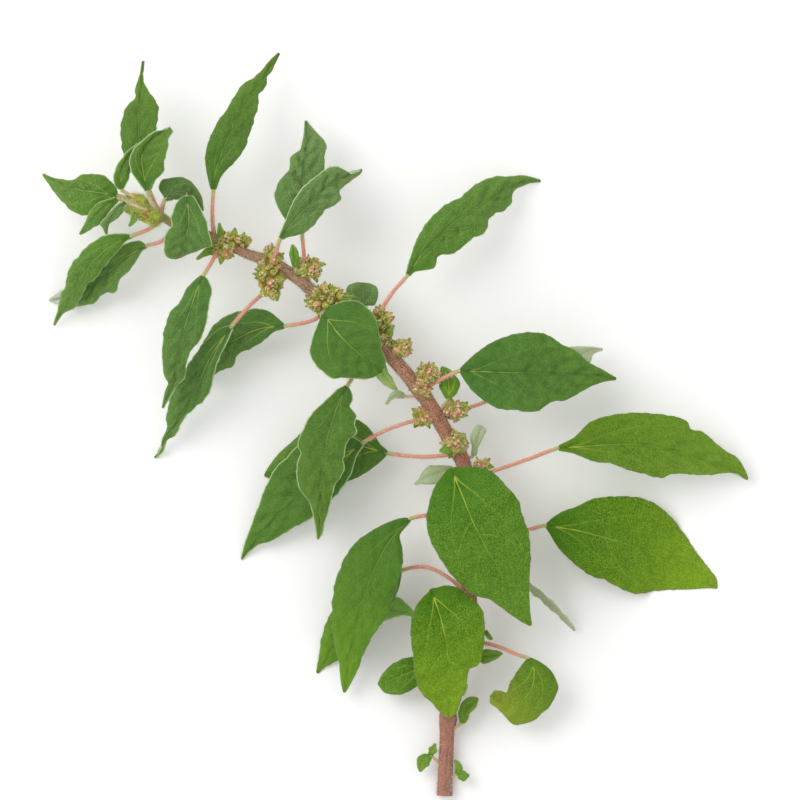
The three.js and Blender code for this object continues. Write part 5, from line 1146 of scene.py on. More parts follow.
class Stem:
    """The main stem: a downy, furrowed limb with swollen nodes and an open cut end."""

    SIDES = 36
    RINGS = 460
    NODE_SWELL = 0.22
    NODE_REACH_MM = 2.2
    # Height as a share of the radius, number, turn for each millimetre and start of the ribs
    FURROWS = (0.035, 7, 0.03, math.pi / 2)
    FIBRES = (0.012, 17, 0.4, 0.0)
    KNOBS = (0.05, 3, 1.7, 0.0)
    # How deep the pith lies below the rim of the cut end, and how much of its width it fills
    HOLLOW_MM = 0.12
    PITH_SHARE = 0.62
    MEAN_RADIUS_MM = 1.7
    # How many places along the axis are tried for the nearest one, and how far the hairs lean ahead
    PLACES = 601
    HAIR_LEAN = 0.25
    NAMES = ("ring_x", "ring_y", "along_mm", "swell", "cut")

    def __init__(self) -> None:
        """Draws the axis."""
        knots = np.array(STEM_KNOTS, float)
        self.knots = knots
        self.axis = Curve(knots[:, :3])
        self.random = np.random.default_rng(FIRST_SEED)

    def place_near(self, x: float, y: float) -> Array:
        """The point of the axis that is nearest in plan."""
        places = self.axis.at_knots(np.linspace(0, 1, self.PLACES))
        return places[np.argmin(np.hypot(places[:, 0] - x, places[:, 1] - y))]

    def swell_at(self, places: Array) -> Array:
        """How near places are to a swollen node.

        Args:
            places: Points of the axis.

        Returns:
            A number for each, from 0 far off to 1 at a node.
        """
        total = np.zeros(len(places))
        for x, y in STEM_NODES:
            away = np.hypot(places[:, 0] - x, places[:, 1] - y)
            total += np.exp(-((away / self.NODE_REACH_MM) ** 2))
        return total

    def radius_at(self, t: Array, places: Array) -> Array:
        """The radius at knot shares t, in millimetres."""
        radius = np.interp(t * (len(self.knots) - 1), np.arange(len(self.knots)), self.knots[:, 3])
        return radius * (1 + self.NODE_SWELL * self.swell_at(places))

    def build(self, shape: Shape) -> None:
        """Adds the limb and its cut end to a mesh, and keeps its surface for the hairs.

        Args:
            shape: The mesh that gets them.
        """
        t = np.linspace(0, 1, self.RINGS)
        places = self.axis.at_knots(t)
        angle = once_round(self.SIDES)
        heading, out = around(places, angle)
        reached = np.concatenate([[0.0], np.cumsum(np.linalg.norm(np.diff(places, axis=0), axis=1))])
        swell = self.swell_at(places)
        uneven = 1 + ribs(angle, reached, self.FURROWS) + ribs(angle, reached, self.FIBRES)
        uneven += swell[:, None] * ribs(angle, reached, self.KNOBS)
        radius = self.radius_at(t, places)[:, None] * uneven
        points = places[:, None] + radius[..., None] * out
        points[..., 2] = np.maximum(points[..., 2], 0)
        self.surface, self.out, self.heading = points, out, heading
        start = places[0] + heading[0] * self.HOLLOW_MM
        inner = start + (points[0] - places[0]) * self.PITH_SHARE
        body = np.concatenate([points.reshape(-1, 3), inner, [start, places[-1]]])
        total = self.RINGS * self.SIDES
        rings = ring_faces(self.RINGS, self.SIDES)[:, ::-1]
        lip = np.stack([np.arange(self.SIDES), (np.arange(self.SIDES) + 1) % self.SIDES], axis=-1)
        lip = np.concatenate([lip, lip[:, ::-1] + total], axis=1)
        caps = [
            fan_faces(self.SIDES, total, total + self.SIDES, True),
            fan_faces(self.SIDES, total - self.SIDES, total + self.SIDES + 1, False),
        ]
        skin = {
            "ring_x": np.tile(np.cos(angle), self.RINGS),
            "ring_y": np.tile(np.sin(angle), self.RINGS),
            "along_mm": np.repeat(reached, self.SIDES),
            "swell": np.repeat(swell, self.SIDES),
        }
        values = {name: np.concatenate([part, np.zeros(self.SIDES + 2)]) for name, part in skin.items()}
        values["cut"] = np.concatenate([np.zeros(total), np.ones(self.SIDES + 1), [0.0]])
        shape.join(body, [rings, lip, *caps], **values)

    def grow_hairs(self, shape: Shape, hairs: Hairs, per_mm2: float) -> None:
        """Adds the down of the bark.

        Args:
            shape: The mesh that gets it.
            hairs: The kind of hair.
            per_mm2: How many grow on each square millimetre.
        """
        area = 2 * math.pi * self.MEAN_RADIUS_MM * self.axis.length
        count = int(area * per_mm2)
        ring = self.random.integers(4, self.RINGS - 4, count)
        side = self.random.integers(0, self.SIDES, count)
        w = self.random.uniform(0, 1, (count, 1))
        roots = self.surface[ring, side] * w + self.surface[ring + 1, (side + 1) % self.SIDES] * (1 - w)
        ways = self.out[ring, side] + self.HAIR_LEAN * self.heading[ring]
        hairs.grow(shape, roots, ways, self.random)


class Stalk:
    """The thin stalk of one leaf, thicker where it leaves the stem, running on under the blade."""

    SIDES = 14
    RING_MM = 0.55
    SLIM_MM = 0.44
    ROOT_EXTRA_MM = 0.3
    BLADE_EXTRA_MM = 0.06
    # How far the stalk's thickening reaches at the stem and at the blade
    ROOT_REACH_MM = 2.2
    BLADE_REACH_MM = 1.5
    # How far it runs on under the blade, in millimetres and at most as a share of the rib
    UNDER_MM = 1.8
    UNDER_SHARE = 0.3
    # How far its middle lies below the rib where the blade begins, and at its own end
    SINK_MM = (0.3, 0.62)
    # The length of the rib from which on a stalk has its full thickness
    FULL_MM = 20
    # The thickness that every stalk has, and what a full one has on top
    SLIMS = (0.55, 0.45)
    # Over what length it tapers at its end, the share that stays there, and the height of its four ridges
    TAPER_MM = 1.6
    BLUNT = 0.45
    RIDGE = 0.06
    # The least height of its middle under the blade, and the fewest rings
    LOWEST_MM = 0.3
    LEAST_RINGS = 8
    NAMES = ("left_mm", "ring_x", "ring_y", "along_mm", "green")

    def __init__(self, leaf: Leaf, stem: Stem, seed: int, slim: float | None = None) -> None:
        """Draws the stalk's line.

        Args:
            leaf: The leaf that it carries.
            stem: The stem that it leaves.
            seed: What its hairs start from.
            slim: How thick it is against that of a large leaf, or None to take that from the leaf.
        """
        self.leaf = leaf
        self.random = np.random.default_rng(seed)
        root = stem.place_near(*leaf.root)
        rib = Curve(leaf.rib)
        run = min(self.UNDER_MM / rib.length, self.UNDER_SHARE)
        under = rib.at(np.array([0.0, run]))
        under[:, 2] -= self.SINK_MM
        under[:, 2] = np.maximum(under[:, 2], self.LOWEST_MM)
        self.line = Curve([root, *leaf.way, under[0], under[1]])
        self.slim = min(rib.length / self.FULL_MM, 1.0) if slim is None else slim

    def build(self, shape: Shape) -> None:
        """Adds the stalk to a mesh, and keeps its surface for the hairs.

        Args:
            shape: The mesh that gets it.
        """
        length = self.line.length
        rings = max(int(length / self.RING_MM), self.LEAST_RINGS)
        u = np.linspace(0, 1, rings)
        places = self.line.at(u)
        angle = once_round(self.SIDES)
        heading, out = around(places, angle)
        radius = self.SLIM_MM * (self.SLIMS[0] + self.SLIMS[1] * self.slim)
        left = (1 - u) * length
        radius = radius + self.ROOT_EXTRA_MM * self.slim * np.exp(-(u * length) / self.ROOT_REACH_MM)
        radius = radius + self.BLADE_EXTRA_MM * np.exp(-left / self.BLADE_REACH_MM)
        radius = radius * np.clip(left / self.TAPER_MM, self.BLUNT, 1)
        radius = radius[:, None] * (1 + self.RIDGE * np.cos(4 * angle)[None, :])
        points = places[:, None] + radius[..., None] * out
        points[..., 2] = np.maximum(points[..., 2], 0)
        body = np.concatenate([points.reshape(-1, 3), [places[0], places[-1]]])
        values = {
            "left_mm": np.concatenate([np.repeat(left, self.SIDES), [length, 0.0]]),
            "green": float(self.leaf.green_stalk),
            "ring_x": np.concatenate([np.tile(np.cos(angle), rings), [0.0, 0.0]]),
            "ring_y": np.concatenate([np.tile(np.sin(angle), rings), [0.0, 0.0]]),
            "along_mm": np.concatenate([np.repeat(u * length, self.SIDES), [0.0, length]]),
        }
        shape.join(body, closed_faces(rings, self.SIDES, turned=True), **values)
        self.surface, self.out, self.heading = points, out, heading

    def grow_hairs(self, shape: Shape, hairs: Hairs, per_mm: float) -> None:
        """Adds the hairs of the stalk.

        Args:
            shape: The mesh that gets them.
            hairs: The kind of hair.
            per_mm: How many grow on each millimetre of its length.
        """
        count = int(self.line.length * per_mm)
        rings = len(self.surface)
        ring = self.random.integers(min(3, rings - 2), rings - 1, count)
        side = self.random.integers(0, self.SIDES, count)
        hairs.grow(shape, self.surface[ring, side], self.out[ring, side], self.random)


# Where the edge of an oval blade passes, as shares of its length and of its half width, and its rise
OVAL_EDGE = ((0.2, 0.75), (0.45, 1.0), (0.75, 0.6))
OVAL_RISE = (0.2, 0.2)


def oval_leaf(name: str, oval: Oval) -> Leaf:
    """The drawn lines of a pointed-oval blade.

    Args:
        name: The name that it gets.
        oval: Its rib and half width.

    Returns:
        The lines, with no stalk.
    """
    rib = Curve(oval.rib)
    shares, widths = np.array(OVAL_EDGE).T
    widths = oval.half * widths
    places = rib.at(shares)
    sides = level_left(rib.heading(shares)) * widths[:, None]
    left = tuple(map(tuple, (places + sides)[:, :2]))
    right = tuple(map(tuple, (places - sides)[:, :2]))
    return Leaf(name, oval.rib, left, right, rise=OVAL_RISE, root=(0.0, 0.0))


class FlowerHead:
    """A dense head of tiny flowers: round four-lobed florets, and pointed bracts that spread below them."""

    NAMES = ("lift", "inside", "shade")
    # The numbers of the materials of brushes and bracts
    ON_BRUSH = 1
    ON_BRACT = 2
    # How far down florets stand, from -1 to 1, and how many of them there are for each one of a solid
    LOWEST = -0.5
    CROWD = 2.9
    FLORET_MM = 0.98
    # The share of florets without a brush
    BARE = 0.82
    BRACT_MM = 2.3
    BRACT_HALF_MM = 0.1
    BRACTS_EACH = 0.95
    # How high above the surface everything in a head stays
    CLEAR_MM = 0.05
    # The size of the core against the drawn lump, and how strongly it takes the painted shade that falls
    # between the florets
    CORE_SHARE = 0.92
    CORE_SHADE = 0.75
    # How far up and down the core's rings reach, and its knobs: height, number round, twist and rows
    CORE_REACH = 0.96
    KNOBS = (0.1, 5, 9, 4)
    # How far the places in a head stray, in radians, and how far the florets and bracts turn away
    STRAY = 0.3
    FLORET_TURN = 0.4
    BRACT_TURN = 0.2
    # What angle the bracts and the down start from, and how far down the bracts stand
    BRACT_START = 1.9
    DOWN_START = 0.7
    BRACT_LOWEST = -0.35
    # The bracts spread more level than the florets
    SPREAD = np.array([1.0, 1.0, 0.45])
    DOWN_OUT_MM = 0.75
    # How the florets and bracts differ in size, and a bract's half width as a share of its length
    FLORET_SIZES = (0.65, 1.2)
    BRACT_SIZES = (0.6, 1.3)
    BRACT_HALVES = (0.22, 0.36)
    # Radius and height in floret radii, share of the way up and the least painted shade for each ring of a
    # floret, which darkens its hollow
    PROFILE = (
        (0.35, -0.9, 0.0, 0.0), (0.78, -0.6, 0.2, 0.0), (1.0, -0.12, 0.4, 0.0), (0.98, 0.32, 0.6, 0.0),
        (0.82, 0.74, 0.8, 0.0), (0.5, 1.08, 1.0, 0.0), (0.26, 0.98, 0.9, 0.6), (0.1, 0.8, 0.6, 1.0),
    )
    # Number and height of the bulges that make a floret uneven
    BULGES = ((1, 0.16), (3, 0.08))
    # How strongly the valleys between the four lobes are darkened with painted shade, and how much they
    # count in width and in height
    VALLEY = (0.8, 0.26, 0.3)
    # The points that close a floret at its foot and in its hollow, in floret radii
    CLOSING = ([0, 0, -1.0], [0, 0, 0.75])
    # Radius and height of each ring of a stigma brush, its height, its ends and how its threads differ
    BRUSH = ((0.12, -0.2), (0.34, 0.1), (0.4, 0.35), (0.2, 0.6))
    BRUSH_LIFT = 0.6
    BRUSH_ENDS = (0.3, 0.7)
    BRUSH_THREADS = (0.7, 1.3)
    ASKEW = np.array([0.3, 0.8, 0.5])
    # Where along a bract it is fixed
    BRACT_ROOT = 0.25

    def __init__(self, cluster: Cluster, seed: int) -> None:
        """Keeps the drawn lumps and starts the head's own scatter."""
        self.cluster = cluster
        self.random = np.random.default_rng(seed)

    def spots(self, lump: Lump, count: int, turn: float, lowest: float) -> tuple[Array, Array]:
        """Places spread evenly over a lump, and the directions that face out of it.

        Args:
            lump: The lump.
            count: How many.
            turn: What angle they start from.
            lowest: How far down they reach, from -1 at its foot to 1 at its top.

        Returns:
            The places and the directions.
        """
        number = np.arange(count)
        lift = 1 - (1 - lowest) * (number + 0.5) / count
        ring = np.sqrt(1 - lift**2)
        stray = self.random.uniform(-self.STRAY, self.STRAY, count)
        angle = number * math.pi * (3 - math.sqrt(5)) + turn + stray
        facing = np.stack([ring * np.cos(angle), ring * np.sin(angle), lift], axis=-1)
        places = np.array(lump.at) + facing * np.array(lump.core)
        return places, unit(facing / np.sqrt(np.array(lump.core)))

    def core(self, shape: Shape, lump: Lump) -> None:
        """Adds the knobbly core that the florets stand on, darkened with the painted shade that falls
        between them.

        Args:
            shape: The mesh that gets it.
            lump: The lump that it fills.
        """
        rings, sides = 16, 28
        lift = np.linspace(-self.CORE_REACH, self.CORE_REACH, rings)[:, None]
        ring = np.sqrt(1 - lift**2)
        angle = once_round(sides)
        height, count, twist, rows = self.KNOBS
        knob = 1 + height * np.sin(count * angle + twist * lift) * np.cos(rows * lift)
        ball = [ring * np.cos(angle) * knob, ring * np.sin(angle) * knob, lift + 0 * angle]
        ball = np.concatenate([np.stack(ball, axis=-1).reshape(-1, 3), [[0, 0, -1], [0, 0, 1]]])
        points = np.array(lump.at) + ball * np.array(lump.core) * self.CORE_SHARE
        # The core takes the painted shade of the gaps between the florets
        shape.join(points, closed_faces(rings, sides), lift=0.1, inside=self.CORE_SHADE, shade=0.2)

    def floret(self, shape: Shape, place: Array, facing: Array) -> None:
        """Adds one floret: a round bud whose four lobes close over a small hollow.

        Args:
            shape: The mesh that gets it.
            place: Its middle.
            facing: The way that it opens.
        """
        sides = 20
        size = self.FLORET_MM * self.random.uniform(*self.FLORET_SIZES)
        angle = once_round(sides)
        valley = np.abs(np.sin(2 * angle)) ** 3
        uneven = np.ones(sides)
        for count, height in self.BULGES:
            uneven = uneven + height * np.sin(count * angle + self.random.uniform(0, 2 * math.pi))
        dark, pinch, sink = self.VALLEY
        rings, inside = [], []
        for radius, height, share, least in self.PROFILE:
            # The valleys and the hollow take painted shade through the inside value
            inside.append(np.maximum(dark * valley * share**2, least))
            across = radius * uneven * (1 - pinch * valley * share)
            up = height - sink * valley * share**2 + 0 * angle
            rings.append(np.stack([across * np.cos(angle), across * np.sin(angle), up], axis=-1))
        local = np.concatenate([*rings, self.CLOSING]) * size
        turned = unit(np.cross(facing, self.random.normal(0, 1, 3)))
        points = place + local @ np.array([turned, np.cross(facing, turned), facing])
        points[:, 2] = np.maximum(points[:, 2], self.CLEAR_MM)
        lift = [row[2] for row in self.PROFILE]
        values = {
            "lift": np.concatenate([np.repeat(lift, sides), [0.0, 0.6]]),
            # No painted shade at the foot point, full painted shade at the point deep in the hollow
            "inside": np.concatenate([*inside, [0.0, 1.0]]),
            "shade": self.random.uniform(0, 1),
        }
        shape.join(points, closed_faces(len(rings), sides), **values)
        if self.random.uniform(0, 1) > self.BARE:
            self.tuft(shape, place + facing * size * self.BRUSH_LIFT, facing, size)

    def tuft(self, shape: Shape, place: Array, facing: Array, size: float) -> None:
        """Adds the pale brush of stigma that stands in a floret.

        Args:
            shape: The mesh that gets it.
            place: Its middle.
            facing: The way that it points.
            size: The radius of the floret.
        """
        sides = 7
        angle = once_round(sides)
        turned = unit(np.cross(facing, self.ASKEW))
        third = np.cross(facing, turned)
        rows = []
        for radius, height in self.BRUSH:
            spread = radius * size * self.random.uniform(*self.BRUSH_THREADS, sides)[:, None]
            ring = np.cos(angle)[:, None] * turned + np.sin(angle)[:, None] * third
            rows.append(place + ring * spread + facing * height * size)
        below, above = self.BRUSH_ENDS
        points = np.concatenate([*rows, [place - facing * below * size, place + facing * above * size]])
        faces = closed_faces(len(rows), sides)
        shape.join(points, faces, self.ON_BRUSH, lift=1.0, inside=1.0, shade=1.0)

    def bract(self, shape: Shape, place: Array, facing: Array) -> None:
        """Adds one pointed bract, cupped upward along its middle.

        Args:
            shape: The mesh that gets it.
            place: Where it is fixed, a quarter of the way up.
            facing: The way that it points.
        """
        length = self.BRACT_MM * self.random.uniform(*self.BRACT_SIZES)
        half = length * self.random.uniform(*self.BRACT_HALVES)
        rows, columns = 10, 7
        u = np.linspace(0, 1, rows)
        v = np.linspace(-1, 1, columns)
        # The outline is fullest below its middle and narrows to a small blunt point
        width = half * (np.sin(math.pi * u**0.75) ** 0.8 * (1 - 0.35 * u) + 0.06)
        side = level_left(facing)
        up = np.cross(facing, side)
        lift = self.random.uniform(0.0, 0.5)
        x = width[:, None] * v
        # Both halves cup upward, and the whole bract bends up towards its point
        y = 0.5 * width[:, None] * np.abs(v) ** 1.5 + lift * length * 0.3 * u[:, None] ** 2
        z = (u[:, None] - self.BRACT_ROOT) * length + 0 * v
        middle = np.stack([x, y + 0 * v, z], axis=-1)
        rise = sheet_normals(middle) * self.BRACT_HALF_MM
        both = [(middle + rise).reshape(-1, 3), (middle - rise).reshape(-1, 3)]
        points = place + np.concatenate(both) @ np.array([side, up, facing])
        points[:, 2] = np.maximum(points[:, 2], self.CLEAR_MM)
        share = np.tile(np.repeat(u, columns), 2)
        shade = self.random.uniform(0, 1)
        faces = sheet_faces(rows, columns)
        shape.add(points, faces, self.ON_BRACT, lift=share, inside=0.0, shade=shade)

    def build(self, shape: Shape, hairs: Shape, down: Hairs, hairiness: int) -> None:
        """Adds the head and its down.

        Args:
            shape: The mesh that gets the head.
            hairs: The mesh that gets the down.
            down: The kind of hair.
            hairiness: How many hairs each floret brings.
        """
        for lump in self.cluster.lumps:
            self.core(shape, lump)
            count = int(lump.florets * self.CROWD)
            places, facing = self.spots(lump, count, 0.0, self.LOWEST)
            for place, way in zip(places, facing):
                self.floret(shape, place, unit(way + self.random.normal(0, self.FLORET_TURN, 3)))
            bracts = int(count * self.BRACTS_EACH)
            places, facing = self.spots(lump, bracts, self.BRACT_START, self.BRACT_LOWEST)
            for place, way in zip(places, facing):
                flat = unit(way * self.SPREAD)
                self.bract(shape, place, unit(flat + self.random.normal(0, self.BRACT_TURN, 3)))
            places, facing = self.spots(lump, lump.florets * hairiness, self.DOWN_START, self.LOWEST)
            down.grow(hairs, places + facing * self.DOWN_OUT_MM, facing, self.random)


class TopBud(FlowerHead):
    """The bud at the top: a smooth mound of young tissue wrapped in folded scales, under long down."""

    BRACT_MM = 3.4
    CORE_SHARE = 1.12
    # The bud's mound takes only a little painted shade
    CORE_SHADE = 0.1
    DOWN_OUT_MM = 0.2
    SCALES = 7
    # What angle the scales start from, how far down they stand, how deep they root and how far they lean
    SCALE_START = 0.4
    SCALE_LOWEST = -0.2
    SCALE_ROOT_MM = 0.5
    SCALE_LEAN = 0.3
    # The way on along the stem, and how much of it the down takes up
    AHEAD = np.array([-0.9, 0.2, 0.3])
    DOWN_AHEAD = 0.5

    def build(self, shape: Shape, hairs: Shape, down: Hairs, hairiness: int) -> None:
        """Adds the mound, its scales that point on along the stem, and its down.

        Args:
            shape: The mesh that gets the bud.
            hairs: The mesh that gets the down.
            down: The kind of hair.
            hairiness: How many hairs each drawn floret brings.
        """
        for lump in self.cluster.lumps:
            self.core(shape, lump)
            places, facing = self.spots(lump, self.SCALES, self.SCALE_START, self.SCALE_LOWEST)
            for place, way in zip(places, facing):
                self.bract(shape, place - self.SCALE_ROOT_MM * way, unit(self.SCALE_LEAN * way + self.AHEAD))
            places, facing = self.spots(lump, lump.florets * hairiness, self.DOWN_START, self.LOWEST)
            ways = unit(facing + self.DOWN_AHEAD * self.AHEAD)
            down.grow(hairs, places + facing * self.DOWN_OUT_MM, ways, self.random)


@dataclass(frozen=True)
class Fade:
    """A strength that changes while a value that the mesh carries goes up.

    Args:
        value: The name of that value.
        start: The value at which the strength begins to change.
        end: The value from which it stays.
        first: The strength before.
        last: The strength after.
        soft: Whether it eases in and out.
    """

    value: str
    start: float
    end: float
    first: float = 0.0
    last: float = 1.0
    soft: bool = False


class Paint:
    """A material in the making: its node tree, its shader, and the values that its mesh carries."""

    # How far the fine dots of skins lie apart, coarser than real cells so that they show
    DOT_MM = 0.17
    # Where the pattern of dots turns pale and where it turns dark, and how dark the dots are at most
    PALE_DOTS = (0.45, 0.8)
    DARK_DOTS = (0.5, 0.2)
    DARKEST = 0.75
    # The part of the noise's range that its spots are made from
    NOISE_ENDS = (0.25, 0.75)

    def __init__(self, title: str, names: Sequence[str] = ()) -> None:
        """Starts the material.

        Args:
            title: The name of the material.
            names: The values that the points of its mesh carry.
        """
        self.material = bpy.data.materials.new(title)
        self.material.use_nodes = True
        self.tree = self.material.node_tree
        self.shader = self.tree.nodes["Principled BSDF"]
        self.value = {name: self.add("Attribute", {}, "Fac", attribute_name=name) for name in names}
        place = self.add("TexCoord", {}, "Object")
        self.place_mm = self.add("VectorMath", {0: place, "Scale": 1 / MM}, operation="SCALE")

    def add(self, kind: str, links: dict, out: int | str = 0, **settings: object) -> Socket:
        """Adds a node with its settings and links.

        Args:
            kind: The node's type, without its ShaderNode prefix.
            links: What each input takes, by name or number: an output socket, or a value.
            out: Which output to return, by name or number.
            settings: The node's own properties.

        Returns:
            One output of the new node.
        """
        made = self.tree.nodes.new("ShaderNode" + kind)
        for name, value in settings.items():
            setattr(made, name, value)
        for name, value in links.items():
            if isinstance(value, Socket):
                self.tree.links.new(value, made.inputs[name])
            else:
                made.inputs[name].default_value = value
        return made.outputs[out]

    def chain(self, operation: str, *parts: Socket | float) -> Socket:
        """Several numbers taken together in turn, such as multiplied, or the greatest of them.

        Args:
            operation: What is done with each next one.
            parts: The numbers.

        Returns:
            What comes out of the last step.
        """
        total = parts[0]
        for part in parts[1:]:
            total = self.add("Math", {0: total, 1: part}, operation=operation)
        return total

    def over(self, colour: Socket | str, *layers: tuple[Socket, Socket | str]) -> Socket:
        """A colour with others laid over it in turn.

        Args:
            colour: The lowest colour, a socket or six hex digits.
            layers: How strong each of the others is, and its colour.

        Returns:
            The colour that is left on top.
        """
        for share, upper in layers:
            low, high = (linear(one) if isinstance(one, str) else one for one in (colour, upper))
            colour = self.add("Mix", {0: share, 6: low, 7: high}, 2, data_type="RGBA")
        return colour

    def follow(self, fade: Fade) -> Socket:
        """A strength that follows one of the values that the mesh carries.

        Args:
            fade: How it changes with that value.

        Returns:
            The strength.
        """
        ends = {"From Min": fade.start, "From Max": fade.end, "To Min": fade.first, "To Max": fade.last}
        kind = "SMOOTHSTEP" if fade.soft else "LINEAR"
        return self.add("MapRange", {"Value": self.value[fade.value], **ends}, interpolation_type=kind)

    def line(self, away: Socket, reach: Socket | float) -> Socket:
        """A soft line.

        Args:
            away: The distance from its middle, of either sign.
            reach: Half its width.

        Returns:
            Its strength, from 1 in the middle to 0 at the reach.
        """
        size = self.add("Math", {0: away}, operation="ABSOLUTE")
        ends = {"Value": size, "From Min": 0.0, "From Max": reach, "To Min": 1.0, "To Max": 0.0}
        return self.add("MapRange", ends, interpolation_type="SMOOTHSTEP")

    def spots(self, place: Socket, size_mm: float, low: float, high: float) -> Socket:
        """Random spots of about one size, from 0 to 1.

        Args:
            place: The place in millimetres.
            size_mm: How far the spots lie apart.
            low: The noise value at which they start.
            high: The noise value at which they are full.

        Returns:
            The strength of the spots.
        """
        noise = self.add("TexNoise", {"Vector": place, "Scale": 1 / size_mm, "Detail": 3.0})
        return self.add("MapRange", {"Value": noise, "From Min": low, "From Max": high})

    def mottled(self, colour: Socket, *patterns: Point) -> Socket:
        """A colour made lighter and darker in spots.

        Args:
            colour: The colour.
            patterns: How far the spots of each pattern lie apart in millimetres, and how much lighter and
                darker they are, as a share of the colour.

        Returns:
            The colour with its spots.
        """
        low, high = self.NOISE_ENDS
        for size_mm, swing in patterns:
            noise = self.add("TexNoise", {"Vector": self.place_mm, "Scale": 1 / size_mm, "Detail": 2.0})
            ends = {"From Min": low, "From Max": high, "To Min": 1 - swing, "To Max": 1 + swing}
            size = self.add("MapRange", {"Value": noise, **ends})
            colour = self.add("VectorMath", {0: colour, "Scale": size}, operation="SCALE")
        return colour

    def speckled(self, colour: Socket, light: str, share: Socket | float) -> Socket:
        """A colour with fine dots, some paler and some darker.

        Args:
            colour: The colour.
            light: The colour of the pale dots.
            share: How strong they are.

        Returns:
            The colour with its dots.
        """
        cell = self.add("TexVoronoi", {"Vector": self.place_mm, "Scale": 1 / self.DOT_MM}, "Color")
        dots = []
        for low, high in (self.PALE_DOTS, self.DARK_DOTS):
            ends = {"Value": cell, "From Min": low, "From Max": high, "To Max": share}
            dots.append(self.add("MapRange", ends))
        pale, dark = dots
        dark = self.add("Math", {0: dark, 1: -self.DARKEST, 2: 1.0}, operation="MULTIPLY_ADD")
        colour = self.over(colour, (pale, light))
        return self.add("VectorMath", {0: colour, "Scale": dark}, operation="SCALE")

    def done(
        self,
        colour: Socket,
        levels: dict[str, float],
        height: Socket | None = None,
        strength: float = 0.0,
        depth_mm: float = 0.0,
    ) -> Material:
        """Links the colour and the relief to the shader, and sets its plain values.

        Args:
            colour: The colour of the surface.
            levels: The shader's plain values by name.
            height: The height of the fine relief, or None where there is none.
            strength: How strongly the relief shows.
            depth_mm: How deep it is.

        Returns:
            The finished material.
        """
        self.tree.links.new(colour, self.shader.inputs["Base Color"])
        if height is not None:
            bump = self.add("Bump", {"Height": height, "Strength": strength, "Distance": depth_mm * MM})
            self.tree.links.new(bump, self.shader.inputs["Normal"])
        for name, level in levels.items():
            self.shader.inputs[name].default_value = level
        return self.material


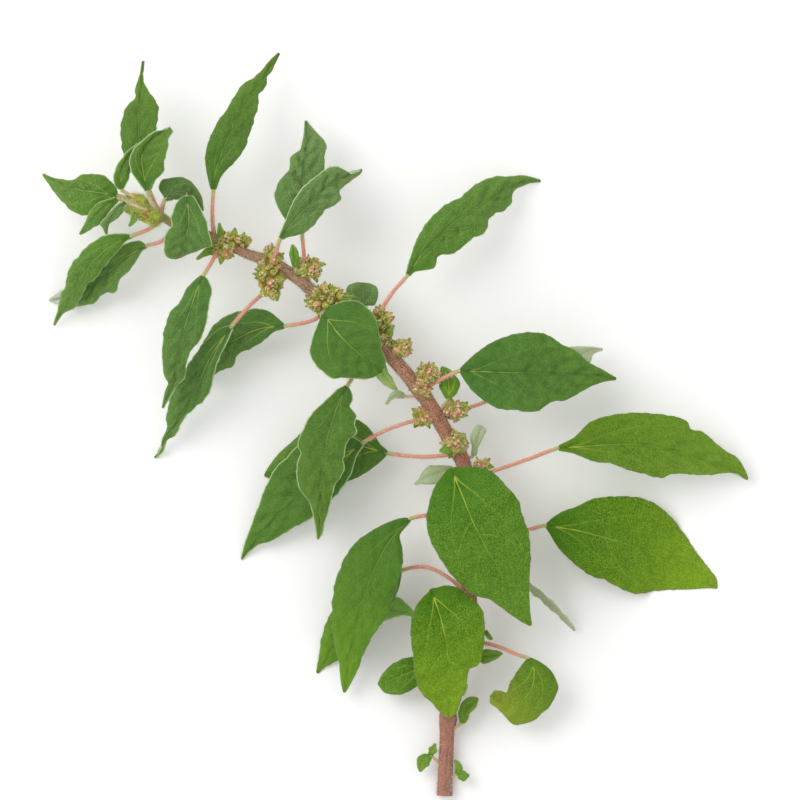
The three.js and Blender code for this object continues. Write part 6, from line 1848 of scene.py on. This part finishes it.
@dataclass(frozen=True)
class LeafFinish:
    """A living leaf: wet tissue under a dull, finely downy skin, its veins sunk above and raised below.

    The skin scatters light softly, and its cells show as fine lighter and darker dots. Painted shade darkens
    the creases along its veins, and its pale rim is partly a painted highlight.

    Args:
        title: The name of the material.
        base: The green of most of the upper side.
        tip: The green towards the tip.
        vein: The colour of the finer veins.
        vein_share: How much they show.
        rim: The colour of the thin edge; where it is pale it is partly the marginal hairs and partly a
            painted highlight.
        rim_share: How much the edge shows.
        under: The colour of the lower side.
        dots: How strongly its dots show.
        crease_shade: How dark the painted shade is in the creases along its side veins and its midrib.
        turns: How far along the blade it begins to turn to the colour of the tip.
        rough: The roughness; wet leaf skin has 0.4 to 0.6.
    """

    title: str
    base: str
    tip: str
    vein: str
    vein_share: float
    rim: str
    rim_share: float
    under: str
    dots: float = 0.28
    crease_shade: float = 0.0
    turns: float = 0.1
    rough: float = 0.58

    JUNCTION = "b4c148"
    # The pale rim of downy blades: marginal hairs and a painted highlight along the edge
    DOWNY_LIT_RIM = "b9d09a"
    UNDER_DOT = "c9d3ba"
    UNDER_VEIN = "b9c494"
    DOTS_SHOW = Fade("along", 0.05, 0.3, 0.3)
    VEINS_BEGIN = Fade("beyond_mm", -0.3, 0.4)
    RIB_IS_PALE = Fade("beyond_mm", 1.5, 18.0, 0.8, 0.0, soft=True)
    ARMS_ARE_PALE = Fade("beyond_mm", 0.5, 11.0, 0.5, 0.0, soft=True)
    FINE_VEINS_FADE = Fade("along", 0.1, 0.9, 1.0, 0.25)
    RIB_HALF_MM = Fade("along", 0.0, 0.6, 0.3, 0.16)
    # Where the painted shade of the creases fades out towards the edge
    FOLD_SHADE_EDGE = Fade("edge_mm", 0.4, 2.5)
    # Half widths of the drawn lines and of the painted shade in the creases, a little wider than life so
    # that they show
    RIM_MM = 0.26
    DOWNY_LIT_RIM_MM = 0.4
    BASAL_MM = 0.22
    SIDE_MM = 0.2
    FOLD_SHADE_MM = 1.0
    RIB_FOLD_SHADE_MM = 0.8
    NET_MM = 0.09
    # The spacing of the net of the finest veins, drawn coarser than life so that it shows
    MESH_MM = 1.6
    CELL_MM = 0.35
    # Spacing in millimetres of the lighter and darker patches of the skin, and how far they swing
    PATCHES = ((8.0, 0.08), (2.4, 0.06))
    # The pale dots of the underside: their spacing, and where their pattern begins and is full
    UNDER_DOTS = (0.4, 0.45, 0.7)
    # The strength of the side and the basal veins against the midrib
    SIDE_SHARE = 0.6
    BASAL_SHARE = 0.42
    # Leaf skin has an IOR of about 1.42, and little shine under its down
    IOR = 1.42
    SHINE = 0.16
    # How deep the net lies in the fine relief, and the strength and depth in millimetres of it all
    NET_DEPTH = 0.7
    RELIEF = (0.4, 0.05)

    def make(self) -> Material:
        """Makes the material.

        Returns:
            The material, with its nodes.
        """
        paint = Paint(self.title, Blade.NAMES)
        value = paint.value
        near_tip = paint.follow(Fade("along", self.turns, 1.0, soft=True))
        upper = paint.mottled(paint.over(self.base, (near_tip, self.tip)), *self.PATCHES)
        dots = paint.chain("MULTIPLY", paint.follow(self.DOTS_SHOW), self.dots)
        upper = paint.speckled(upper, self.vein, dots)
        main, fine, fold_shade, net = self.veins(paint)
        # Painted shade darkens the creases along the side veins and the midrib
        fold_shade = paint.add("Math", {0: fold_shade, 1: -self.crease_shade, 2: 1.0}, operation="MULTIPLY_ADD")
        upper = paint.add("VectorMath", {0: upper, "Scale": fold_shade}, operation="SCALE")
        # The thin edge and the downy rim: where pale, partly marginal hair and partly a painted highlight
        rim = paint.chain("MULTIPLY", paint.line(value["edge_mm"], self.RIM_MM), self.rim_share)
        downy = paint.chain("MULTIPLY", paint.line(value["edge_mm"], self.DOWNY_LIT_RIM_MM), value["downy"])
        upper = paint.over(
            upper, (fine, self.vein), (main, self.JUNCTION), (rim, self.rim), (downy, self.DOWNY_LIT_RIM)
        )
        pale = paint.spots(paint.place_mm, *self.UNDER_DOTS)
        raised = paint.chain("MAXIMUM", main, fine)
        lower = paint.over(self.under, (pale, self.UNDER_DOT), (raised, self.UNDER_VEIN))
        colour = paint.over(lower, (value["above"], upper))
        cells = {"Vector": paint.place_mm, "Scale": 1 / self.CELL_MM, "Detail": 2.0}
        height = {0: net, 1: -self.NET_DEPTH, 2: paint.add("TexNoise", cells)}
        height = paint.add("Math", height, operation="MULTIPLY_ADD")
        levels = {"Roughness": self.rough, "IOR": self.IOR, "Specular IOR Level": self.SHINE}
        return paint.done(colour, levels, height, *self.RELIEF)

    def veins(self, paint: Paint) -> tuple[Socket, Socket, Socket, Socket]:
        """The lines of the veins.

        Args:
            paint: The material in the making.

        Returns:
            The strength of the pale main veins near the base, of the finer ones, of the painted shade in the
            creases that these lie in, and of the net between.
        """
        value = paint.value
        begun = paint.follow(self.VEINS_BEGIN)
        midrib = paint.line(value["midrib_mm"], paint.follow(self.RIB_HALF_MM))
        basal = paint.line(value["basal_mm"], self.BASAL_MM)
        nearest = paint.add("Math", {0: value["side_phase"]}, operation="ROUND")
        away = paint.chain("SUBTRACT", value["side_phase"], nearest)
        away = paint.chain("MULTIPLY", away, value["side_mm"])
        tipward = paint.chain("GREATER_THAN", value["basal_mm"], 0.0)
        rows = paint.chain("MULTIPLY", paint.chain("GREATER_THAN", value["side_phase"], -0.5), tipward)
        # Painted shade in the creases along the side veins, and along the midrib
        fold_shade = paint.chain("MULTIPLY", paint.line(away, self.FOLD_SHADE_MM), rows, paint.follow(self.FOLD_SHADE_EDGE))
        fold_shade = paint.chain("MAXIMUM", fold_shade, paint.line(value["midrib_mm"], self.RIB_FOLD_SHADE_MM))
        side = paint.chain("MULTIPLY", paint.line(away, self.SIDE_MM), rows, self.SIDE_SHARE)
        fine = paint.chain("MAXIMUM", paint.chain("MULTIPLY", basal, self.BASAL_SHARE), side, midrib)
        fine = paint.chain("MULTIPLY", fine, paint.follow(self.FINE_VEINS_FADE), begun, self.vein_share)
        rib = paint.chain("MULTIPLY", midrib, paint.follow(self.RIB_IS_PALE))
        arms = paint.chain("MULTIPLY", basal, paint.follow(self.ARMS_ARE_PALE))
        main = paint.chain("MULTIPLY", paint.chain("MAXIMUM", rib, arms), begun, value["fork"])
        cells = {"Vector": paint.place_mm, "Scale": 1 / self.MESH_MM, "Randomness": 0.9}
        edge = paint.add("TexVoronoi", cells, "Distance", feature="DISTANCE_TO_EDGE")
        return main, fine, fold_shade, paint.line(edge, self.NET_MM)


@dataclass(frozen=True)
class BarkFinish:
    """A young woody stem: dull reddish bark, finely streaked with pale fibres and darker at its nodes.

    Args:
        title: The name of the material.
        foot: The pinkish brown of its lowest part.
        base: The reddish brown of its middle.
        top: The browner part above.
        streak: The colour of the fibres.
        dark: The colour of the furrows.
        knee: The downy olive of the upper nodes and of the top end.
        rough: The roughness; dry bark has 0.7 to 0.9.
    """

    title: str
    foot: str
    base: str
    top: str
    streak: str
    dark: str
    knee: str
    rough: float = 0.75

    PITH = ("d8c9a0", "b79f72")
    FOOT_ENDS = Fade("along_mm", 25.0, 70.0)
    TOP_BEGINS = Fade("along_mm", 90.0, 150.0)
    DOTS_SHOW = Fade("along_mm", 45.0, 110.0, 0.2, 0.5)
    TIP_BEGINS = Fade("along_mm", 172.0, 186.0)
    # The stem's radius, which turns the ring into millimetres, and how far the fibres are drawn out
    ROUND_MM = 1.8
    DRAWN_OUT = 0.16
    FURROW_MM = 0.55
    FIBRE_MM = 0.26
    # Where the patterns of furrows and fibres begin and are full, and how strong their colours are
    FURROWED = (0.48, 0.7)
    FIBROUS = (0.52, 0.68)
    FURROW_SHARE = 0.45
    FIBRE_SHARE = 0.32
    KNEE_SHARE = 0.8
    # Spacing in millimetres of the lighter and darker patches, and how far they swing
    PATCHES = (2.6, 0.18)
    SHINE = 0.25
    # The strength of the fine relief, and its depth in millimetres
    RELIEF = (0.5, 0.08)

    def make(self) -> Material:
        """Makes the material.

        Returns:
            The material, with its nodes.
        """
        paint = Paint(self.title, Stem.NAMES)
        value = paint.value
        x = paint.chain("MULTIPLY", value["ring_x"], self.ROUND_MM)
        y = paint.chain("MULTIPLY", value["ring_y"], self.ROUND_MM)
        z = paint.chain("MULTIPLY", value["along_mm"], self.DRAWN_OUT)
        place = paint.add("CombineXYZ", {0: x, 1: y, 2: z})
        height = paint.follow(self.TOP_BEGINS)
        furrow = paint.spots(place, self.FURROW_MM, *self.FURROWED)
        fibre = paint.spots(place, self.FIBRE_MM, *self.FIBROUS)
        colour = paint.over(
            self.foot,
            (paint.follow(self.FOOT_ENDS), self.base),
            (height, self.top),
            (paint.chain("MULTIPLY", furrow, self.FURROW_SHARE), self.dark),
            (paint.chain("MULTIPLY", fibre, self.FIBRE_SHARE), self.streak),
        )
        colour = paint.mottled(colour, self.PATCHES)
        colour = paint.speckled(colour, self.streak, paint.follow(self.DOTS_SHOW))
        knee = paint.chain("MULTIPLY", value["swell"], height, self.KNEE_SHARE)
        knee = paint.chain("MAXIMUM", knee, paint.follow(self.TIP_BEGINS))
        pith = paint.over(self.PITH[0], (fibre, self.PITH[1]))
        colour = paint.over(colour, (knee, self.knee), (value["cut"], pith))
        levels = {"Roughness": self.rough, "Specular IOR Level": self.SHINE}
        return paint.done(colour, levels, fibre, *self.RELIEF)


@dataclass(frozen=True)
class StalkFinish:
    """A juicy leaf stalk: smooth salmon-pink skin, yellow-green where it meets its blade.

    Args:
        title: The name of the material.
        root: The pink-brown next to the stem.
        middle: The salmon pink.
        end: The yellow-green next to the blade.
        fresh: The yellow-green of the stalks round the top bud.
        streak: The colour of its fine lines.
        rough: The roughness; fresh green skin has 0.4 to 0.6.
    """

    title: str
    root: str
    middle: str
    end: str
    fresh: str
    streak: str
    rough: float = 0.55

    ROOT_ENDS = Fade("along_mm", 0.0, 4.0)
    END_BEGINS = Fade("left_mm", 2.2, 5.0, 1.0, 0.0, soft=True)
    DRAWN_OUT = 0.2
    LINE_MM = 0.45
    # Where the pattern of lines begins and is full, and how strong the lines, dots and fresh green are
    LINED = (0.48, 0.7)
    LINE_SHARE = 0.5
    DOT_SHARE = 0.35
    FRESH_SHARE = 0.9
    SHINE = 0.3
    # The strength of the fine relief, and its depth in millimetres
    RELIEF = (0.3, 0.05)

    def make(self) -> Material:
        """Makes the material.

        Returns:
            The material, with its nodes.
        """
        paint = Paint(self.title, Stalk.NAMES)
        value = paint.value
        z = paint.chain("MULTIPLY", value["along_mm"], self.DRAWN_OUT)
        place = paint.add("CombineXYZ", {0: value["ring_x"], 1: value["ring_y"], 2: z})
        lines = paint.spots(place, self.LINE_MM, *self.LINED)
        colour = paint.over(
            self.root,
            (paint.follow(self.ROOT_ENDS), self.middle),
            (paint.chain("MULTIPLY", value["green"], self.FRESH_SHARE), self.fresh),
            (paint.follow(self.END_BEGINS), self.end),
            (paint.chain("MULTIPLY", lines, self.LINE_SHARE), self.streak),
        )
        colour = paint.speckled(colour, self.streak, self.DOT_SHARE)
        levels = {"Roughness": self.rough, "Specular IOR Level": self.SHINE}
        return paint.done(colour, levels, lines, *self.RELIEF)


@dataclass(frozen=True)
class FloretFinish:
    """Small buds and bracts: papery and downy, some green, some flushed pink-brown; the florets pale at
    their tops with a painted highlight and dark in their grooves with painted shade.

    Args:
        title: The name of the material.
        green: The colour of the green ones, and of the foot of all.
        flush: The colour of the flushed ones.
        point: The colour of the tips; on the florets a painted highlight on their tops, on the bracts the
            tint of their tips.
        deep: The painted shade in the grooves between the lobes, in the hollows of the florets and on the
            core between them.
        patches: How strongly flushed patches show on all of them.
        rough: The roughness; downy petals have 0.8.
    """

    title: str
    green: str
    flush: str
    point: str
    deep: str
    patches: float = 0.0
    rough: float = 0.8

    FLUSHED = Fade("shade", 0.4, 0.7)
    FOOT_ENDS = Fade("lift", 0.1, 0.6)
    # Where the tip colour begins: a painted highlight on florets, the tint of the tip on bracts
    POINT_AND_HIGHLIGHT_BEGINS = Fade("lift", 0.65, 1.0, 0.0, 0.7)
    # The flushed patches: their spacing in millimetres, and where their pattern begins and is full
    FLUSHES = (2.2, 0.5, 0.62)
    # Spacing in millimetres of the lighter and darker spots, and how far they swing
    SPOTS = ((1.3, 0.28), (0.4, 0.45))
    SHINE = 0.2

    def make(self) -> Material:
        """Makes the material.

        Returns:
            The material, with its nodes.
        """
        paint = Paint(self.title, FlowerHead.NAMES)
        flushed = paint.chain("MULTIPLY", paint.follow(self.FLUSHED), paint.follow(self.FOOT_ENDS))
        patch = paint.chain("MULTIPLY", paint.spots(paint.place_mm, *self.FLUSHES), self.patches)
        colour = paint.over(
            self.green,
            (paint.chain("MAXIMUM", flushed, patch), self.flush),
            # the tips: a painted highlight on the florets
            (paint.follow(self.POINT_AND_HIGHLIGHT_BEGINS), self.point),
            # painted shade in the grooves, the hollows and the core
            (paint.value["inside"], self.deep),
        )
        colour = paint.mottled(colour, *self.SPOTS)
        return paint.done(colour, {"Roughness": self.rough, "Specular IOR Level": self.SHINE})


@dataclass(frozen=True)
class DownFinish:
    """Fine plant hairs: clear, pale cells that catch the light.

    Args:
        title: The name of the material.
        colour: Their colour.
        spot: A second colour that some have.
        rough: The roughness; wet cell walls have 0.3 to 0.5.
    """

    title: str
    colour: str
    spot: str
    rough: float = 0.45

    # The spacing of the spots in millimetres, and where their pattern begins and is full
    SPOTS = (1.2, 0.4, 0.6)

    def make(self) -> Material:
        """Makes the material.

        Returns:
            The material, with its nodes.
        """
        paint = Paint(self.title)
        colour = paint.over(self.colour, (paint.spots(paint.place_mm, *self.SPOTS), self.spot))
        return paint.done(colour, {"Roughness": self.rough})


# Leaf tissue: each tone is one age and place of blade, its greens taken from that part of the sprig
LEAF_FINISHES = {
    LeafTone.SUNNY: LeafFinish(
        "sunlit_leaf", "40700a", "73981a", "96b238", 0.6, "4f3f1c", 0.6, "8a9f62", 0.42,
    ),
    LeafTone.GRASSY: LeafFinish(
        "grassy_leaf", "3f7012", "54821d", "96b248", 0.6, "4f3f1c", 0.5, "8a9f62", 0.36,
    ),
    LeafTone.BRIGHT: LeafFinish(
        "bright_leaf", "557a16", "6c9029", "96b248", 0.5, "3f5a1c", 0.5, "93a66c", 0.3, 0.12,
    ),
    LeafTone.CURLED: LeafFinish(
        "curled_leaf", "557a1a", "8a9c2e", "96b248", 0.5, "3f5a1c", 0.5, "93a66c", 0.3, 0.12, 0.2,
    ),
    LeafTone.LUSH: LeafFinish(
        "lush_leaf", "477023", "648f21", "7c9e44", 0.5, "3c5524", 0.5, "93a678", 0.22, 0.12,
    ),
    LeafTone.FRESH: LeafFinish(
        "fresh_leaf", "527b28", "628839", "93b262", 0.5, "a9bd84", 0.35, "9aab7c", 0.28, 0.24,
    ),
    LeafTone.MID: LeafFinish(
        "middle_leaf", "4c7229", "60842e", "7fa052", 0.5, "3c5524", 0.5, "93a678", 0.26, 0.2,
    ),
    LeafTone.DEEP: LeafFinish(
        "deep_leaf", "476f29", "58822e", "77994e", 0.5, "3c5524", 0.45, "93a678", 0.26, 0.2,
    ),
    LeafTone.SOFT: LeafFinish(
        "downy_leaf", "4d7431", "62863b", "83a364", 0.5, "7c9464", 0.35, "97a87e", 0.28, 0.3,
    ),
    LeafTone.FADED: LeafFinish(
        "faded_leaf", "5e8438", "d2dacb", "8eaa6c", 0.5, "8a9f70", 0.4, "9aab82", 0.3, 0.32, 0.66,
    ),
    LeafTone.DOWNY: LeafFinish(
        "grey_downy_leaf", "587b3b", "6c8b4c", "8eaa6c", 0.5, "8a9f70", 0.4, "9aab82", 0.32, 0.34,
    ),
    LeafTone.PALE: LeafFinish("turned_leaf", "98a97c", "b0bd98", "bcc8a2", 0.4, "c4cfb0", 0.4, "8ea06f"),
    LeafTone.LIGHT: LeafFinish("light_leaf", "80b44a", "b4cb80", "b4cc7c", 0.4, "c4cfa8", 0.4, "9aab82"),
    LeafTone.YOUNG: LeafFinish("young_leaf", "58841c", "6a9036", "93ab56", 0.5, "7f9a48", 0.4, "a0b07c"),
}
# Young bark: dull and fibrous, reddish low down and greyer above
STEM_FINISH = BarkFinish("young_bark", "a26c5a", "985b40", "8f6c48", "d2ae98", "5f382b", "8f8a40")
# Leaf-stalk skin: smooth and juicy, with a soft gloss
STALK_FINISH = StalkFinish("stalk_skin", "ab6a50", "dd8a75", "aab05c", "dade9e", "ecd0b4")
# Floret: papery tissue, dull and downy, with a painted highlight on its top and painted shade in its grooves
# and hollow
FLORET_FINISH = FloretFinish("floret", "a8ab46", "cc906e", "e6d6aa", "5c4a20")
# Bract: green leaf tissue, deeper green at its point
BRACT_FINISH = FloretFinish("bract_tissue", "9caa44", "c2ae66", "56702c", "728438")
# Top bud: soft young tissue, yellow-green with orange-brown patches
BUD_FINISH = FloretFinish("bud_scale", "a4b240", "bd8742", "c0cc66", "858f2a", 0.38)
# Stigma brush: pale wet threads
TUFT_FINISH = DownFinish("stigma_brush", "d8c8a8", "c89c88", 0.6)
# Leaf hair: clear cells, whitish against the green
LEAF_DOWN = DownFinish("leaf_down", "93b26e", "bdd2a0")
# Hair of the stem, its stalks and heads: clear cells, slightly warm from what lies behind them
STEM_DOWN = DownFinish("stem_down", "dfd2ba", "f0e9dc")
# Hair of the top bud: clear cells, tinged by the yellow-green below them
BUD_DOWN = DownFinish("bud_down", "d2d68a", "eef0cc")


@dataclass
class Foliage:
    """All the blades of the sprig, each on its own, with the fine hairs of their edges and skin."""

    margin: Hairs = Hairs(0.06, 0.3, 0.6)
    skin: Hairs = Hairs(0.05, 0.25, 0.5)
    margin_per_mm: float = 2.6
    skin_per_mm2: float = 0.45

    def build(self, finishes: dict[LeafTone, Material], down: Material) -> None:
        """Builds and dresses the blades, and their hairs in three pieces.

        Args:
            finishes: The material of each tone.
            down: The material of the hairs.
        """
        groups = {
            "lower_leaf": LEAVES[:LOWER_LEAF_COUNT],
            "upper_leaf": LEAVES[LOWER_LEAF_COUNT:],
            "young_leaf": SMALL_LEAVES,
        }
        seed = FIRST_SEED
        for slot, leaves in groups.items():
            hairs = Shape()
            for leaf in leaves:
                seed += 1
                shape = Shape(Blade.NAMES)
                blade = Blade(leaf, seed)
                blade.build(shape)
                shape.piece(f"{leaf.name}_blade", [finishes[leaf.tone]], slot, [leaf.name])
                blade.grow_hairs(hairs, self.margin, self.skin, self.margin_per_mm, self.skin_per_mm2)
            hairs.piece(f"{slot}_down", [down], slot)


@dataclass
class SideShoots:
    """The two short side shoots near the cut end: two oval blades on one thin stalk."""

    twig_slim: float = 0.3

    def build(self, leaf: Material, stalk: Material, stem: Stem) -> None:
        """Builds and dresses both.

        Args:
            leaf: The material of the blades.
            stalk: The material of the stalks.
            stem: The stem that they leave.
        """
        for number, shoot in enumerate(SHOOTS):
            shape = Shape(Blade.NAMES)
            for place, oval in enumerate(shoot.blades):
                seed = SHOOT_SEED + 10 * number + place
                Blade(oval_leaf(shoot.name, oval), seed, puff_mm=0.0).build(shape)
            shape.piece(f"{shoot.name}_blades", [leaf], "young_leaf", [shoot.name])
            twig = Shape(Stalk.NAMES)
            fork = shoot.fork
            ahead = tuple(2 * a - b for a, b in zip(fork, stem.place_near(*shoot.root)))
            line = Leaf(shoot.name, (fork, ahead), (), (), (0.0, 0.0), shoot.root)
            Stalk(line, stem, TWIG_SEED + number, slim=self.twig_slim).build(twig)
            twig.piece(f"{shoot.name}_stalk", [stalk], "young_leaf", [shoot.name])


@dataclass
class Framework:
    """The stem and all the leaf stalks, with their down."""

    stem_hair: Hairs = Hairs(0.09, 0.3, 0.8)
    stalk_hair: Hairs = Hairs(0.1, 0.35, 0.85)
    stem_per_mm2: float = 4.5
    stalk_per_mm: float = 14.0

    def build(self, bark: Material, skin: Material, down: Material) -> Stem:
        """Builds and dresses them.

        Args:
            bark: The material of the stem.
            skin: The material of the stalks.
            down: The material of the hairs.

        Returns:
            The stem.
        """
        stem = Stem()
        limb = Shape(Stem.NAMES)
        hairs = Shape()
        stem.build(limb)
        stem.grow_hairs(hairs, self.stem_hair, self.stem_per_mm2)
        limb.piece("stem_bark", [bark], "stem", ["stem"])
        stalks = Shape(Stalk.NAMES)
        for number, leaf in enumerate(LEAVES + SMALL_LEAVES):
            stalk = Stalk(leaf, stem, STALK_SEED + number)
            stalk.build(stalks)
            stalk.grow_hairs(hairs, self.stalk_hair, self.stalk_per_mm)
        stalks.piece("leaf_stalks", [skin], "stem", ["stem"])
        hairs.piece("stem_down", [down], "stem")
        return stem


@dataclass
class FlowerHeads:
    """All the flower heads in the leaf axils, and the bud at the top."""

    down: Hairs = Hairs(0.09, 0.45, 1.0)
    bud_down: Hairs = Hairs(0.08, 0.7, 1.7)
    hairiness: int = 18
    bud_hairiness: int = 110

    def build(
        self,
        finishes: Sequence[Material],
        bud: Material,
        leaf: Material,
        hair: Sequence[Material],
    ) -> None:
        """Builds and dresses the heads, and their down in two pieces.

        Args:
            finishes: The materials of florets, stigmas and small bracts.
            bud: The material of the top bud's scales.
            leaf: The material of the narrow leaves that stand out of them.
            hair: The materials of the heads' down and of the bud's.
        """
        hairs, fuzz = Shape(), Shape()
        for number, cluster in enumerate(CLUSTERS):
            shape = Shape(FlowerHead.NAMES)
            seed = HEAD_SEED + number
            if cluster.name == TOP_BUD:
                TopBud(cluster, seed).build(shape, fuzz, self.bud_down, self.bud_hairiness)
                dress = [bud, finishes[1], bud]
            else:
                FlowerHead(cluster, seed).build(shape, hairs, self.down, self.hairiness)
                dress = finishes
            shape.piece(f"{cluster.name}_head", dress, "flowers", [cluster.name])
            if cluster.bracts:
                blades = Shape(Blade.NAMES)
                for place, oval in enumerate(cluster.bracts):
                    seed = BRACT_SEED + 10 * number + place
                    Blade(oval_leaf(cluster.name, oval), seed, puff_mm=0.0).build(blades)
                blades.piece(f"{cluster.name}_bracts", [leaf], "flowers", [cluster.name])
        hairs.piece("flower_down", [hair[0]], "flowers")
        fuzz.piece("apex_bud_down", [hair[1]], "flowers")


@dataclass
class Studio:
    """A pale floor, an even white sky and one large soft lamp at the upper left, and the camera above.

    The camera stands high over the sprig and looks straight down; 200 mm of the plane that it measures
    fill its picture.
    """

    floor_mm: float = 3000.0
    floor_drop_mm: float = 0.05
    sky: float = 0.87
    lamp_place_mm: Point = (-620.0, 420.0, 900.0)
    lamp_size_mm: float = 800.0
    lamp_share: float = 0.3
    lamp_colour: Point = (1.0, 0.985, 0.96)
    centre_mm: Point = (0.875, 6.5, 12.0)
    camera_height_mm: float = 3000.0
    field_mm: float = 200.0
    sensor_mm: float = 36.0

    def lay_floor(self) -> None:
        """Lays the floor, of smooth near-white card."""
        half = self.floor_mm / 2 * MM
        mesh = bpy.data.meshes.new("floor")
        z = -self.floor_drop_mm * MM
        corners = [(-half, -half, z), (half, -half, z), (half, half, z), (-half, half, z)]
        mesh.from_pydata(corners, [], [(0, 1, 2, 3)])
        paint = Paint("white_card")
        spots = paint.add("TexNoise", {"Vector": paint.place_mm, "Scale": 1 / 2.0, "Detail": 2.0})
        colour = paint.over("fafafa", (spots, "fcfcfc"))
        mesh.materials.append(paint.done(colour, {"Roughness": 0.9, "Specular IOR Level": 0.1}))
        floor = bpy.data.objects.new("floor", mesh)
        bpy.context.scene.collection.objects.link(floor)

    def light(self) -> None:
        """Sets the sky and the lamp."""
        world = bpy.data.worlds.new("sky")
        world.use_nodes = True
        world.node_tree.nodes["Background"].inputs["Color"].default_value = (1.0, 1.0, 1.0, 1.0)
        world.node_tree.nodes["Background"].inputs["Strength"].default_value = self.sky
        bpy.context.scene.world = world
        place = np.array(self.lamp_place_mm)
        distance = float(np.linalg.norm(place))
        lamp = bpy.data.lights.new("soft_lamp", "AREA")
        lamp.shape = "DISK"
        lamp.size = self.lamp_size_mm * MM
        slant = place[2] / distance
        lamp.energy = self.lamp_share * math.pi**2 * (distance * MM) ** 2 / slant
        lamp.color = self.lamp_colour
        holder = bpy.data.objects.new("soft_lamp", lamp)
        holder.location = Vector(place * MM)
        holder.rotation_euler = Vector(place).to_track_quat("Z", "Y").to_euler()
        bpy.context.scene.collection.objects.link(holder)

    def set_camera(self) -> None:
        """Hangs the camera over the sprig."""
        data = bpy.data.cameras.new("camera")
        data.sensor_width = self.sensor_mm
        data.lens = self.sensor_mm * self.camera_height_mm / self.field_mm
        camera = bpy.data.objects.new("camera", data)
        x, y, z = self.centre_mm
        camera.location = Vector((x, y, z + self.camera_height_mm)) * MM
        bpy.context.scene.collection.objects.link(camera)
        bpy.context.scene.camera = camera
        bpy.context.scene.view_settings.view_transform = "Standard"


def main() -> None:
    """Builds the sprig and its stage."""
    logging.basicConfig(level=logging.INFO, format="%(name)s %(message)s")
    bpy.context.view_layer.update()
    studio = Studio()
    studio.set_camera()
    studio.lay_floor()
    studio.light()
    leaf_materials = {tone: finish.make() for tone, finish in LEAF_FINISHES.items()}
    stalk_material = STALK_FINISH.make()
    stem_down = STEM_DOWN.make()
    leaf_down = LEAF_DOWN.make()
    stem = Framework().build(STEM_FINISH.make(), stalk_material, stem_down)
    Foliage().build(leaf_materials, leaf_down)
    SideShoots().build(leaf_materials[LeafTone.YOUNG], stalk_material, stem)
    heads = [FLORET_FINISH.make(), TUFT_FINISH.make(), BRACT_FINISH.make()]
    downs = [stem_down, BUD_DOWN.make()]
    FlowerHeads().build(heads, BUD_FINISH.make(), leaf_materials[LeafTone.YOUNG], downs)
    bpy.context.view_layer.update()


if __name__ == "__main__":
    main()
